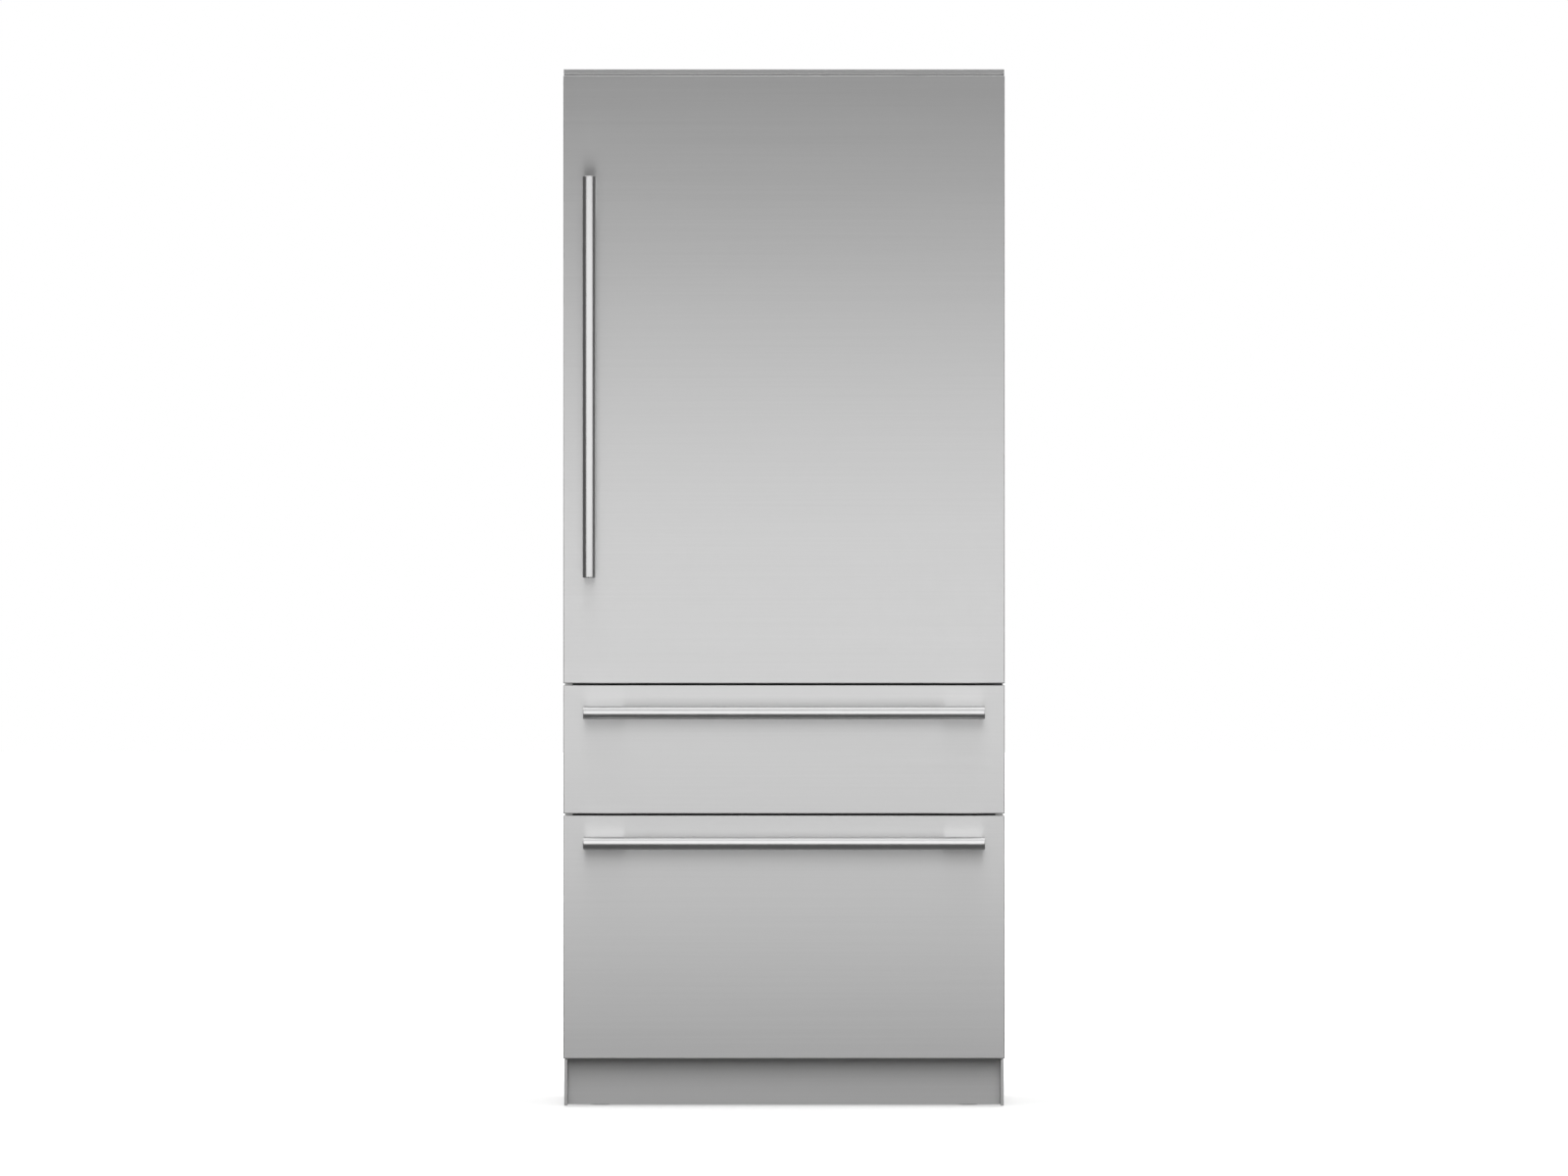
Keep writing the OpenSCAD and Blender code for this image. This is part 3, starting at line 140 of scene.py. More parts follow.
def finish(name, colour, rough, metallic=0.0, vary=0.04, broad=(5, 5, 5), fine=(900, 900, 900),
           relief=0.00003, along=None, crystals=None, **sockets):
    """Procedural finish. `rough` is the range of roughness, `vary` the share by which the colour
    wanders over the `broad` pattern, and `fine` the grains to the metre of a relief `relief` metres
    high. `along` is the direction of a brushed grain, and `crystals` the zinc crystals to the metre."""
    mat, tree, shader = material(name)
    wander = spangle(tree, crystals) if crystals else noise(tree, broad, 3.0)
    grain = noise(tree, fine)
    tone = tint(tree, wander, scaled(colour, 1 - vary), scaled(colour, 1 + vary))
    tree.links.new(tone, shader.inputs["Base Color"])
    tree.links.new(spread(tree, wander, *rough), shader.inputs["Roughness"])
    tree.links.new(bump(tree, grain, relief), shader.inputs["Normal"])
    shader.inputs["Metallic"].default_value = metallic
    for key, value in sockets.items():
        shader.inputs[key.replace("_", " ")].default_value = value
    if along:
        tangent = add(tree, "CombineXYZ", X=along[0], Y=along[1], Z=along[2])
        tree.links.new(tangent.outputs[0], shader.inputs["Tangent"])
    return mat


# ---------------------------------------------------------------- finishes

STEEL = (0.66, 0.66, 0.66)
WHITE = (0.86, 0.86, 0.85)
WARM_LIGHT = (1, 0.98, 0.94, 1)
COLD_LIGHT = (0.75, 0.9, 1.0)
FINISH = {
    "stainless_steel": finish("brushed stainless steel", STEEL, (0.35, 0.38), 1.0, vary=0.015,
                              broad=(1.5, 1.5, 220), fine=(14, 900, 2600), relief=0.000004,
                              Anisotropic=0.9, along=(0, 0.1, -1)),
    "handle_steel": finish("brushed handle steel", STEEL, (0.28, 0.31), 1.0, vary=0.02,
                           broad=(30, 30, 30), fine=(500, 500, 500), relief=0.000002),
    "cabinet_steel": finish("coated cabinet steel", (0.62, 0.62, 0.61), (0.36, 0.42), 0.5, vary=0.015,
                            broad=(2, 2, 2), fine=(700, 700, 700), relief=0.00002),
    "back_steel": finish("galvanised steel", (0.56, 0.57, 0.58), (0.40, 0.47), 0.85, vary=0.045,
                         crystals=75, relief=0.00001),
    "base_steel": finish("black coated steel", (0.10, 0.10, 0.105), (0.35, 0.45),
                         fine=(600, 600, 600), relief=0.00005),
    "insulation_foam": finish("foam", (0.80, 0.72, 0.45), (0.8, 0.95), vary=0.12,
                              broad=(60, 60, 60), fine=(300, 300, 300), relief=0.0004),
    "front_core": finish("coated inner sheet", (0.60, 0.60, 0.595), (0.36, 0.42), vary=0.015,
                         broad=(70, 70, 70)),
    "white_liner": finish("white liner", (0.88, 0.88, 0.87), (0.26, 0.28), vary=0.004,
                          broad=(30, 30, 30), fine=(300, 300, 300), relief=0.000012,
                          Coat_Weight=0.2, Coat_Roughness=0.15),
    "white_plastic": finish("white plastic", WHITE, (0.40, 0.44), vary=0.005,
                            broad=(30, 30, 30), fine=(800, 800, 800), relief=0.00004),
    "light_lens": finish("light lens", (0.94, 0.94, 0.92), (0.3, 0.35), vary=0.01,
                         Emission_Color=WARM_LIGHT, Emission_Strength=3.0),
    "coil_aluminium": finish("coil aluminium", (0.75, 0.76, 0.77), (0.28, 0.38), 1.0),
    "zinc_steel": finish("zinc plate", (0.62, 0.63, 0.65), (0.25, 0.36), 1.0, vary=0.05,
                         broad=(40, 40, 40)),
    "shelf_trim": finish("satin aluminium", (0.74, 0.74, 0.75), (0.24, 0.3), 1.0, fine=(20, 900, 900)),
    "shelf_glass": finish("shelf glass", (0.93, 1.0, 0.97), (0.0, 0.02), vary=0.004,
                          fine=(3, 3, 3), relief=0.0, Transmission_Weight=1.0, IOR=1.5, Alpha=0.5),
    "clear_plastic": finish("clear plastic", (0.95, 0.97, 0.98), (0.03, 0.07), vary=0.01,
                            fine=(60, 60, 60), relief=0.000004,
                            Transmission_Weight=0.92, IOR=1.35, Alpha=0.45),
    "compressor_shell": finish("black enamel", (0.03, 0.03, 0.032), (0.16, 0.24),
                               fine=(250, 250, 250), relief=0.00006),
    "condenser_steel": finish("black paint", (0.05, 0.05, 0.052), (0.4, 0.5)),
    "black_plastic": finish("black plastic", (0.045, 0.045, 0.048), (0.42, 0.5), relief=0.00005),
    "grey_rubber": finish("gasket vinyl", (0.36, 0.36, 0.37), (0.5, 0.6), relief=0.00002),
    "bush_plastic": finish("bearing plastic", (0.82, 0.80, 0.74), (0.3, 0.4)),
    "roller_plastic": finish("roller plastic", (0.22, 0.22, 0.23), (0.4, 0.5)),
    "screw_steel": finish("dark screws", (0.30, 0.30, 0.31), (0.3, 0.4), 0.9, fine=(2500, 2500, 2500)),
}
DISPLAY = finish("display digits", COLD_LIGHT, (0.4, 0.45), vary=0.01,
                 Emission_Color=(*COLD_LIGHT, 1), Emission_Strength=0.9)
NODE_SLOT = {part["node"]: part["material_slot"] for part in frame["record"]["subparts"]}
WELD_REACH = 0.01 * MM
BEVEL_WIDTH = 0.8 * MM
BEVEL_FROM = 35                    # degrees between two faces from which their edge is rounded


def dress(obj, mat):
    """One material on every slot of an object."""
    if not obj.data.materials:
        obj.data.materials.append(mat)
    for place in obj.material_slots:
        place.link = "OBJECT"
        place.material = mat


def dress_nodes():
    """Finish and rounded edges of every CAD node."""
    for name, obj in NODES.items():
        dress(obj, FINISH[NODE_SLOT[name]])
        weld = obj.modifiers.new("weld", "WELD")
        weld.merge_threshold = WELD_REACH
        bevel = obj.modifiers.new("bevel", "BEVEL")
        bevel.width = BEVEL_WIDTH
        bevel.segments = 2
        bevel.limit_method = "ANGLE"
        bevel.angle_limit = math.radians(BEVEL_FROM)


# ---------------------------------------------------------------- shapes

CORNER_STEPS = 6                   # points of a round corner
EDGE_STEPS = 4                     # steps of a rounded edge or cove
LATHE_STEPS = 28
LEAST_RADIUS = 0.05 * MM
ARC_ROOM = 2.01                    # a little over 2, so that two arcs never meet on a short side
LIP_SHARE = 0.45                   # rounding of a tub's lip as a share of its wall
SMOOTH_TO = 38                     # degrees between two faces up to which they shade as one
EDGE_TURNS = [math.pi / 2 * step / EDGE_STEPS for step in range(EDGE_STEPS + 1)]
PLACE = {
    "x": lambda depth, u, v: (depth, u, v),
    "y": lambda depth, u, v: (u, depth, v),
    "z": lambda depth, u, v: (u, v, depth),
}

SCREW_STEPS = 24                   # points round a screw's head, in four quarters
SCREW_H = 0.55                     # height of the head in radii
SCREW_PROFILE = ((0, 1), (0.4, 1), (0.75, 0.93), (1, 0.78))  # (share of height, share of radius)
CROSS_ARM = 0.56                   # length of an arm of the cross recess in radii
CROSS_HALF = 0.13                  # half its width in radii
CROSS_FLOOR = 0.35                 # height of its floor as a share of the head's


def grown(rect, by):
    """Rectangle (u0, u1, v0, v1) that is larger by the same length on each side."""
    return (rect[0] - by, rect[1] + by, rect[2] - by, rect[3] + by)


def around(u, v, half_u, half_v):
    """Rectangle round a middle."""
    return (u - half_u, u + half_u, v - half_v, v + half_v)


def outline(rect, radius):
    """Points round a rectangle whose corners are arcs."""
    u0, u1, v0, v1 = rect
    radius = max(LEAST_RADIUS, min(radius, (u1 - u0) / ARC_ROOM, (v1 - v0) / ARC_ROOM))
    points = []
    for u, v, quarter in ((u1 - radius, v1 - radius, 0), (u0 + radius, v1 - radius, 1),
                          (u0 + radius, v0 + radius, 2), (u1 - radius, v0 + radius, 3)):
        for step in range(CORNER_STEPS):
            angle = math.pi / 2 * (quarter + step / (CORNER_STEPS - 1))
            points.append((u + radius * math.cos(angle), v + radius * math.sin(angle)))
    return points


def circle(centre, axis, along, radius, steps):
    """Points round an axis through `centre`, at a distance along it."""
    points = []
    for step in range(steps):
        angle = 2 * math.pi * step / steps
        point = PLACE[axis](along, radius * math.cos(angle), radius * math.sin(angle))
        points.append(Vector(point) + Vector(centre))
    return points


def edge(depth, towards, rect, corner, radius, inward=1):
    """Sections of a rounded edge, from the wall to an end face at `depth` that faces `towards`."""
    sections = []
    for turn in EDGE_TURNS:
        shift = inward * radius * (1 - math.cos(turn))
        level = depth - towards * radius * (1 - math.sin(turn))
        sections.append((level, grown(rect, -shift), corner - shift))
    return sections


class Form:
    """Points and faces of a piece while it is being shaped."""

    def __init__(self):
        self.points = []
        self.faces = []

    def ring(self, points):
        """Adds points and gives their numbers."""
        first = len(self.points)
        self.points.extend(points)
        return list(range(first, len(self.points)))

    def skin(self, rings, cyclic=False, ends=True):
        """Faces between closed rings of as many points each."""
        pairs = list(zip(rings, rings[1:]))
        if cyclic:
            pairs.append((rings[-1], rings[0]))
        elif ends:
            self.faces.append(tuple(rings[0]))
            self.faces.append(tuple(rings[-1]))
        for a, b in pairs:
            for i in range(len(a)):
                j = (i + 1) % len(a)
                self.faces.append((a[i], a[j], b[j], b[i]))
        return self

    def loft(self, plane, sections, cyclic=False):
        """Skin through rectangles (depth, rect, corner radius) that lie across the axis `plane`."""
        rings = []
        for depth, rect, corner in sections:
            rings.append(self.ring([PLACE[plane](depth, u, v) for u, v in outline(rect, corner)]))
        return self.skin(rings, cyclic)

    def slab(self, plane, low, high, rect, corner, round_off):
        """Plate between two depths, with all its edges rounded."""
        below = edge(low, -1, rect, corner, round_off)
        return self.loft(plane, below[::-1] + edge(high, 1, rect, corner, round_off))

    def block(self, low, high, round_off):
        """Box between two corners with rounded edges."""
        rect = (low[0], high[0], low[1], high[1])
        return self.slab("z", low[2], high[2], rect, round_off, round_off)

    def tub(self, plane, mouth, floor, rect, wall, corner, cove, draft=0.0, lip=None):
        """Hollow box, open at the depth `mouth`, that narrows by `draft` on each side to its floor."""
        up = 1 if mouth > floor else -1
        lip = LIP_SHARE * wall if lip is None else lip
        narrow = grown(rect, -draft)
        outer = edge(floor, -up, narrow, corner, min(cove, corner))[::-1]
        outer += edge(mouth, up, rect, corner, lip)
        inner = edge(mouth, up, grown(rect, -wall), corner - wall, lip, inward=-1)[::-1]
        inner += edge(floor + up * wall, -up, grown(narrow, -wall), corner - wall, cove)
        return self.loft(plane, outer + inner)

    def frame(self, plane, rect, corner, profile):
        """Closed frame whose section runs through points (inset from the rectangle, depth)."""
        sections = [(depth, grown(rect, -inset), corner - inset) for inset, depth in profile]
        return self.loft(plane, sections, cyclic=True)

    def lathe(self, centre, axis, profile, steps=LATHE_STEPS):
        """Turned body round an axis through `centre`: profile points are (along, radius)."""
        rings = []
        for along, radius in profile:
            rings.append(self.ring(circle(centre, axis, along, radius, steps)))
        return self.skin(rings)

    def screw(self, centre, axis, towards, radius):
        """Pan head with a cross recess, seated at `centre`."""
        height = SCREW_H * radius
        circles = []
        for along, size in SCREW_PROFILE:
            level = towards * along * height
            circles.append(self.ring(circle(centre, axis, level, radius * size, SCREW_STEPS)))
        self.skin(circles, ends=False)
        self.faces.append(tuple(circles[0]))
        arm = CROSS_ARM * radius
        half = CROSS_HALF * radius
        levels = []
        for along in (height, CROSS_FLOOR * height):
            ring = []
            for quarter in range(4):
                turn = math.pi / 2 * quarter
                for u, v in ((arm, -half), (arm, half), (half, half)):
                    point = PLACE[axis](towards * along, u * math.cos(turn) - v * math.sin(turn),
                                        u * math.sin(turn) + v * math.cos(turn))
                    ring.append(Vector(point) + Vector(centre))
            levels.append(self.ring(ring))
        self.skin(levels, ends=False)
        self.faces.append(tuple(levels[1]))
        self.join_cross(circles[-1], levels[0])
        return self

    def join_cross(self, rim, cross):
        """Faces between the rim of a screw's head and its cross recess."""
        steps = len(rim) // 4
        corners = len(cross) // 4
        for quarter in range(4):
            first = steps * quarter
            tip = corners * quarter
            self.faces.append((rim[first - 1], rim[first], rim[first + 1], cross[tip + 1], cross[tip]))
            arc = tuple(rim[(first + step) % len(rim)] for step in range(1, steps))
            following = cross[(tip + corners) % len(cross)]
            self.faces.append(arc + (following, cross[tip + 2], cross[tip + 1]))

    def piece(self, name, slot, body, *replaced, look=None):
        """Mesh object of this form, which rides on a body and may stand for CAD nodes."""
        mesh = bpy.data.meshes.new(name)
        mesh.from_pydata([tuple(point) for point in self.points], [], self.faces)
        shaped = bmesh.new()
        shaped.from_mesh(mesh)
        bmesh.ops.recalc_face_normals(shaped, faces=shaped.faces)
        shaped.to_mesh(mesh)
        shaped.free()
        mesh.shade_smooth()
        mesh.set_sharp_from_angle(angle=math.radians(SMOOTH_TO))
        obj = bpy.data.objects.new(name, mesh)
        scene.collection.objects.link(obj)
        mesh.materials.append(look or FINISH[slot])
        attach(obj, body)
        if replaced:
            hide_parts(*replaced)
        return obj


def rect_of(node, plane):
    """Rectangle that a CAD node fills across an axis, and its two depths along it."""
    low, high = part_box(node)
    depth = "xyz".index(plane)
    u, v = [axis for axis in range(3) if axis != depth]
    return (low[u], high[u], low[v], high[v]), low[depth], high[depth]


def mirrored(low, high, side):
    """Corners of a box on the right, or of its mirror image on the left."""
    if side > 0:
        return low, high
    return (-high[0], low[1], low[2]), (-low[0], high[1], high[2])


def between(a, b, share):
    """Rectangle part of the way from one to another."""
    return tuple(p + (q - p) * share for p, q in zip(a, b))


def stepped_tub(mouth, step, floor, plane, rect, small, wall, corner, cove):
    """Tub whose deep part, beyond `step`, fills only the rectangle `small`; the rest ends in a ledge."""
    up = 1 if mouth > floor else -1
    lip = LIP_SHARE * wall
    outer = edge(floor, -up, small, corner, cove)[::-1]
    outer += [(step, small, corner), (step, rect, corner)] + edge(mouth, up, rect, corner, lip)
    wide = grown(rect, -wall)
    narrow = grown(small, -wall)
    ledge = step + up * wall
    width = max(abs(a - b) for a, b in zip(rect, small))
    inner = edge(mouth, up, wide, corner - wall, lip, inward=-1)[::-1]
    for turn in EDGE_TURNS:
        share = cove * (1 - math.cos(turn)) / width
        level = ledge + up * cove * (1 - math.sin(turn))
        inner.append((level, between(wide, narrow, share), corner - wall))
    for turn in EDGE_TURNS:
        share = 1 - cove * (1 - math.sin(turn)) / width
        level = ledge - up * cove * (1 - math.cos(turn))
        inner.append((level, between(wide, narrow, share), corner - wall))
    inner += edge(floor + up * wall, -up, narrow, corner - wall, cove)
    return Form().loft(plane, outer + inner)


# ---------------------------------------------------------------- inside of the cabinet

LINER_T = 2.5 * MM
FRONT_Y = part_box("side_panels")[0].y
MACHINE_D = 200 * MM               # depth of the machine room
STEP_WALL = 30 * MM                # thickness of the wall round it
STEP_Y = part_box("side_panels")[1].y - MACHINE_D - STEP_WALL
STEP_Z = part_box("machine_cover")[1].z + STEP_WALL
BUTTONS = 3                        # on each side of the display
BUTTON_X = 82 * MM
BUTTON_PITCH = 22 * MM
BUTTON_RISE = 1.5 * MM
WINDOW_HALF = 60 * MM
WINDOW_IN = 8 * MM                 # from the panel's edges to its window
DIGIT = {"3": "abcdg", "8": "abcdefg", "0": "abcdef"}


def make_fridge_liner():
    """Vacuum-formed tub with round corners."""
    rect, front, back = rect_of("fridge_liner", "y")
    corner = 16 * MM
    cove = 12 * MM
    tub = Form().tub("y", front, back, rect, LINER_T, corner, cove)
    tub.piece("fridge_tub", "white_liner", "cabinet", "fridge_liner")


def make_drawer_liners():
    """Two vacuum-formed tubs, of which the lower one has a step over the machine room."""
    rect, front, back = rect_of("drawer_liners", "y")
    corner = 14 * MM
    cove = 10 * MM
    wall_low, wall_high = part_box("mullions")
    wall_h = wall_high.z - rect[3]
    lower = (rect[0], rect[1], rect[2], wall_low.z)
    rear = (rect[0], rect[1], STEP_Z, wall_low.z)
    upper = (rect[0], rect[1], wall_low.z + wall_h, rect[3])
    tubs = stepped_tub(front, STEP_Y, back, "y", lower, rear, LINER_T, corner, cove)
    tubs.tub("y", front, back, upper, LINER_T, corner, cove)
    tubs.piece("drawer_tubs", "white_liner", "cabinet", "drawer_liners")


def make_breakers():
    """Dark strips in front of the two dividing walls, between the gaskets."""
    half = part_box("upper_gasket")[1].x + 9 * MM
    free = 0.5 * MM
    back = FRONT_Y - 0.1 * MM
    face = FRONT_Y - 1.5 * MM
    strips = Form()
    for below, above in (("lower_gasket", "upper_gasket"), ("upper_gasket", "door_gasket")):
        rect = (-half, half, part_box(below)[1].z + free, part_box(above)[0].z - free)
        strips.slab("y", face, back, rect, 1 * MM, 0.4 * MM)
    strips.piece("breaker_strips", "black_plastic", "cabinet")


def make_lights():
    """Lens of each light bar, with end caps."""
    low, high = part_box("light_bars")
    thick = 6 * MM
    cap_h = 11 * MM
    lens_in = cap_h + 1 * MM
    round_off = 2.6 * MM
    lenses = Form()
    caps = Form()
    for side in SIDES:
        x0, x1 = sorted((side * (high.x - thick), side * high.x))
        lens = (low.y, high.y, low.z + lens_in, high.z - lens_in)
        lenses.slab("x", x0, x1, lens, 5 * MM, round_off)
        for z in (low.z, high.z - cap_h):
            caps.slab("x", x0, x1, (low.y, high.y, z, z + cap_h), 3 * MM, round_off)
    lenses.piece("light_lenses", "light_lens", "cabinet", "light_bars")
    caps.piece("light_caps", "white_plastic", "cabinet")


def digit_bars(form, text, x, z, size, y):
    """Seven-segment digits, `size` high, from x to the right, their backs at y."""
    width = 0.5 * size
    half = 0.5 * size
    bar = 0.1 * size
    near = 0.7 * bar
    far = 1.2 * bar
    for sign in text:
        segments = {
            "a": (x, x + width, z + half - bar, z + half),
            "d": (x, x + width, z - half, z - half + bar),
            "g": (x, x + width, z - bar / 2, z + bar / 2),
            "b": (x + width - bar, x + width, z + near, z + half - far),
            "c": (x + width - bar, x + width, z - half + far, z - near),
            "e": (x, x + bar, z - half + far, z - near),
            "f": (x, x + bar, z + near, z + half - far),
        }
        for key in DIGIT[sign]:
            form.slab("y", y - 0.25 * MM, y, segments[key], 0.2 * MM, 0.08 * MM)
        x += 0.8 * size


def make_display():
    """Black window with two numbers."""
    low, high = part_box("control_panel")
    panel = low.y + BUTTON_RISE
    face = panel + 0.2 * MM
    middle = (low.z + high.z) / 2
    clear = 0.4 * MM
    half_h = (high.z - low.z) / 2 - WINDOW_IN
    rect = around(0, middle, WINDOW_HALF - clear, half_h - clear)
    window = Form().slab("y", face, panel + 1 * MM, rect, 1 * MM, 0.2 * MM)
    window.piece("display_window", "black_plastic", "cabinet")
    digits = Form()
    size = 9 * MM
    digit_bars(digits, "38", -44 * MM, middle, size, face)
    digit_bars(digits, "0", 33 * MM, middle, size, face)
    digits.piece("display_digits", "light_lens", "cabinet", look=DISPLAY)


def make_button_marks():
    """Plus sign on the middle button of each side, and a bar on the others."""
    low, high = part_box("control_panel")
    face = low.y
    middle = (low.z + high.z) / 2
    long = 2.4 * MM
    thin = 0.4 * MM
    marks = Form()
    for side in SIDES:
        for number in range(BUTTONS):
            x = side * (BUTTON_X + number * BUTTON_PITCH)
            strokes = [(long, thin)]
            if number == 1:
                strokes.append((thin, long))
            for across, up in strokes:
                rect = around(x, middle, across, up)
                marks.slab("y", face - 0.15 * MM, face + 0.1 * MM, rect, 0.3 * MM, 0.05 * MM)
    marks.piece("button_marks", "black_plastic", "cabinet")


def make_duct_details():
    """Pressed frame round the air slots, and the plugs over the cover's screws."""
    low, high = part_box("duct_cover")
    face = low.y
    crisper_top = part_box("crisper_rails")[1].z
    side_in = 60 * MM
    width = 5.8 * MM
    slope = 0.8 * MM
    base = face + 0.5 * MM
    foot = face - 0.2 * MM
    crest = face - 1.4 * MM
    rect = (low.x + side_in, high.x - side_in, crisper_top + 30 * MM, high.z - 40 * MM)
    profile = ((0, base), (0, foot), (slope, crest), (width - slope, crest), (width, foot), (width, base))
    raised = Form().frame("y", rect, 18 * MM, profile)
    raised.piece("duct_frame", "white_plastic", "cabinet")
    plug_in = 26 * MM
    levels = (crisper_top + 40 * MM, (crisper_top + high.z) / 2 + 12 * MM, high.z - 60 * MM)
    button = ((0.3 * MM, 6 * MM), (-0.6 * MM, 6 * MM), (-1.2 * MM, 5 * MM), (-1.4 * MM, 2 * MM))
    plugs = Form()
    for x in (low.x + plug_in, high.x - plug_in):
        for z in levels:
            plugs.lathe((x, face, z), "y", button)
    plugs.piece("duct_plugs", "white_plastic", "cabinet")


# ---------------------------------------------------------------- seals

# Section of a bellows seal: (inset from its outer edge, rise towards the cabinet) in millimetres.
BELLOWS = ((3, 0), (15, 0), (15, 1.6), (12.4, 2.6), (12, 4), (14.6, 5.2), (17.4, 6.2), (18, 7.2),
           (18, 11), (17.4, 11.6), (9.6, 11.6), (9, 11.2), (8.4, 11.6), (0.6, 11.6), (0, 11), (0, 7.2),
           (0.6, 6.2), (4.6, 5.2), (6.6, 4), (4.6, 2.6), (3, 1.6))


def make_gasket(node, body):
    """Bellows seal with a flat magnet pocket, welded at its corners."""
    rect, base, _ = rect_of(node, "y")
    profile = [(inset * MM, base + rise * MM) for inset, rise in BELLOWS]
    Form().frame("y", rect, 5 * MM, profile).piece(node + "_bellows", "grey_rubber", body, node)


# ---------------------------------------------------------------- inside of the door

RIM_SIDE_IN = 24 * MM              # from the edges of the door liner to its raised rim
RIM_BOTTOM_IN = 19 * MM
RIM_TOP_IN = 32 * MM
BIN_H = 105 * MM
BIN_COUNT = 3
BIN_WALL = 3 * MM


def make_door_liner():
    """Vacuum-formed sheet with a raised rim round the bins."""
    plate, base, crest = rect_of("door_liner", "y")
    rim = (plate[0] + RIM_SIDE_IN, plate[1] - RIM_SIDE_IN, plate[2] + RIM_BOTTOM_IN, plate[3] - RIM_TOP_IN)
    rim_w = 24 * MM
    sheet = base + LINER_T
    foot = 6 * MM
    draft = 2.5 * MM
    round_off = 7 * MM
    corner = 26 * MM
    inner_corner = 4 * MM
    small = 1 * MM
    sections = edge(base, -1, plate, 8 * MM, 0.5 * MM)[::-1] + edge(sheet, 1, plate, 8 * MM, small)
    for turn in EDGE_TURNS:
        level = sheet + foot * (1 - math.cos(turn))
        sections.append((level, grown(rim, foot * (1 - math.sin(turn))), corner + foot))
    sections += edge(crest, 1, grown(rim, -draft), corner, round_off)
    sections += edge(crest, 1, grown(rim, draft - rim_w), corner - rim_w, round_off, inward=-1)[::-1]
    sections.append((sheet + foot, grown(rim, -rim_w), inner_corner))
    sections.append((sheet + small, grown(rim, -rim_w), inner_corner))
    sections.append((sheet, grown(rim, -rim_w - small), inner_corner))
    Form().loft("y", sections).piece("door_liner_sheet", "white_liner", "door", "door_liner")


def make_bins():
    """Clear bins with a metal trim, the dairy box above them, and the lugs that carry them."""
    rect, low, high = rect_of("door_bins", "z")
    x0, x1, back, front = rect
    pitch = (high - low - BIN_H) / BIN_COUNT
    inner = grown(rect, -0.4 * MM)
    pad_in = 14 * MM
    trim_in = 18 * MM
    trim_t = 0.6 * MM
    bins = Form()
    trims = Form()
    lugs = Form()
    for number in range(BIN_COUNT):
        z = low + number * pitch
        bins.tub("z", z + BIN_H, z, inner, BIN_WALL, 11 * MM, 8 * MM, draft=3 * MM)
        pad = (x0 + pad_in, x1 - pad_in, z + 70 * MM, z + 101 * MM)
        bins.slab("y", front - 3 * MM, front + 0.6 * MM, pad, 3 * MM, 1 * MM)
        trim = (x0 + trim_in, x1 - trim_in, z + 74 * MM, z + 97 * MM)
        trims.slab("y", front + 0.4 * MM, front + 1.8 * MM, trim, 2 * MM, trim_t)
        for side in SIDES:
            for y in (back + 3 * MM, back + 16 * MM):
                lug_low = (x1 - 7 * MM, y, z - 9 * MM)
                lug_high = (x1 + 1 * MM, y + 6 * MM, z - 0.5 * MM)
                lugs.block(*mirrored(lug_low, lug_high, side), round_off=1.5 * MM)
    z = low + BIN_COUNT * pitch
    bins.tub("y", front, back, (inner[0], inner[1], z, high), BIN_WALL, 4 * MM, 2 * MM)
    sill_low = (inner[0] + 2.5 * MM, front - BIN_WALL, z + 1 * MM)
    sill_high = (inner[1] - 2.5 * MM, front, z + 22 * MM)
    bins.block(sill_low, sill_high, round_off=1.2 * MM)
    trim = (x0 + trim_in, x1 - trim_in, z + 4 * MM, z + 18 * MM)
    trims.slab("y", front - 0.4 * MM, front + 1.2 * MM, trim, 2 * MM, trim_t)
    bins.piece("bins", "clear_plastic", "door", "door_bins")
    trims.piece("bin_trims", "shelf_trim", "door")
    lugs.piece("bin_lugs", "white_liner", "door")


# ---------------------------------------------------------------- crispers and drawer boxes

BOX_WALL = 3 * MM
BOX_CORNER = 9 * MM
CRISPER_WALL = 2.6 * MM
RIBS = 7                           # across the floor of a drawer box
RIB_IN = 45 * MM                   # from the walls of the box to its ribs
RIB_HALF = 5 * MM


def make_crisper(side):
    """Clear drawer with hanging rims, a raised border and a grip."""
    name = "right_crisper" if side > 0 else "left_crisper"
    low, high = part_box(name)
    outer = max(abs(low.x), abs(high.x))
    x0 = 9 * MM
    x1 = outer - 8 * MM
    y0 = low.y + 4 * MM
    face = y0 + 0.2 * MM
    rect = (x0, x1, y0, high.y) if side > 0 else (-x1, -x0, y0, high.y)
    form = Form().tub("z", high.z, low.z, rect, CRISPER_WALL, 9 * MM, 8 * MM, draft=1.5 * MM, lip=1 * MM)
    for rim_x0, rim_x1 in ((2.4 * MM, x0 + 1 * MM), (x1 - 1 * MM, outer)):
        rim_low = (rim_x0, y0 + 12 * MM, high.z - 3 * MM)
        form.block(*mirrored(rim_low, (rim_x1, high.y, high.z), side), round_off=0.6 * MM)
    border = grown((rect[0], rect[1], low.z, high.z), -10 * MM)
    crest = face - 1.4 * MM
    profile = ((0, face), (0.4 * MM, crest), (3.6 * MM, crest), (4 * MM, face))
    form.frame("y", border, 14 * MM, profile)
    middle = (rect[0] + rect[1]) / 2
    grip_z = high.z - 24 * MM
    form.slab("y", low.y, face, around(middle, grip_z, 80 * MM, 8 * MM), 7 * MM, 1.6 * MM)
    form.piece(name + "_tub", "clear_plastic", name, name)
    strip = around(middle, grip_z, 74 * MM, 2.5 * MM)
    trim = Form().slab("y", low.y - 1.2 * MM, low.y + 0.3 * MM, strip, 2.4 * MM, 0.6 * MM)
    trim.piece(name + "_trim", "shelf_trim", name)


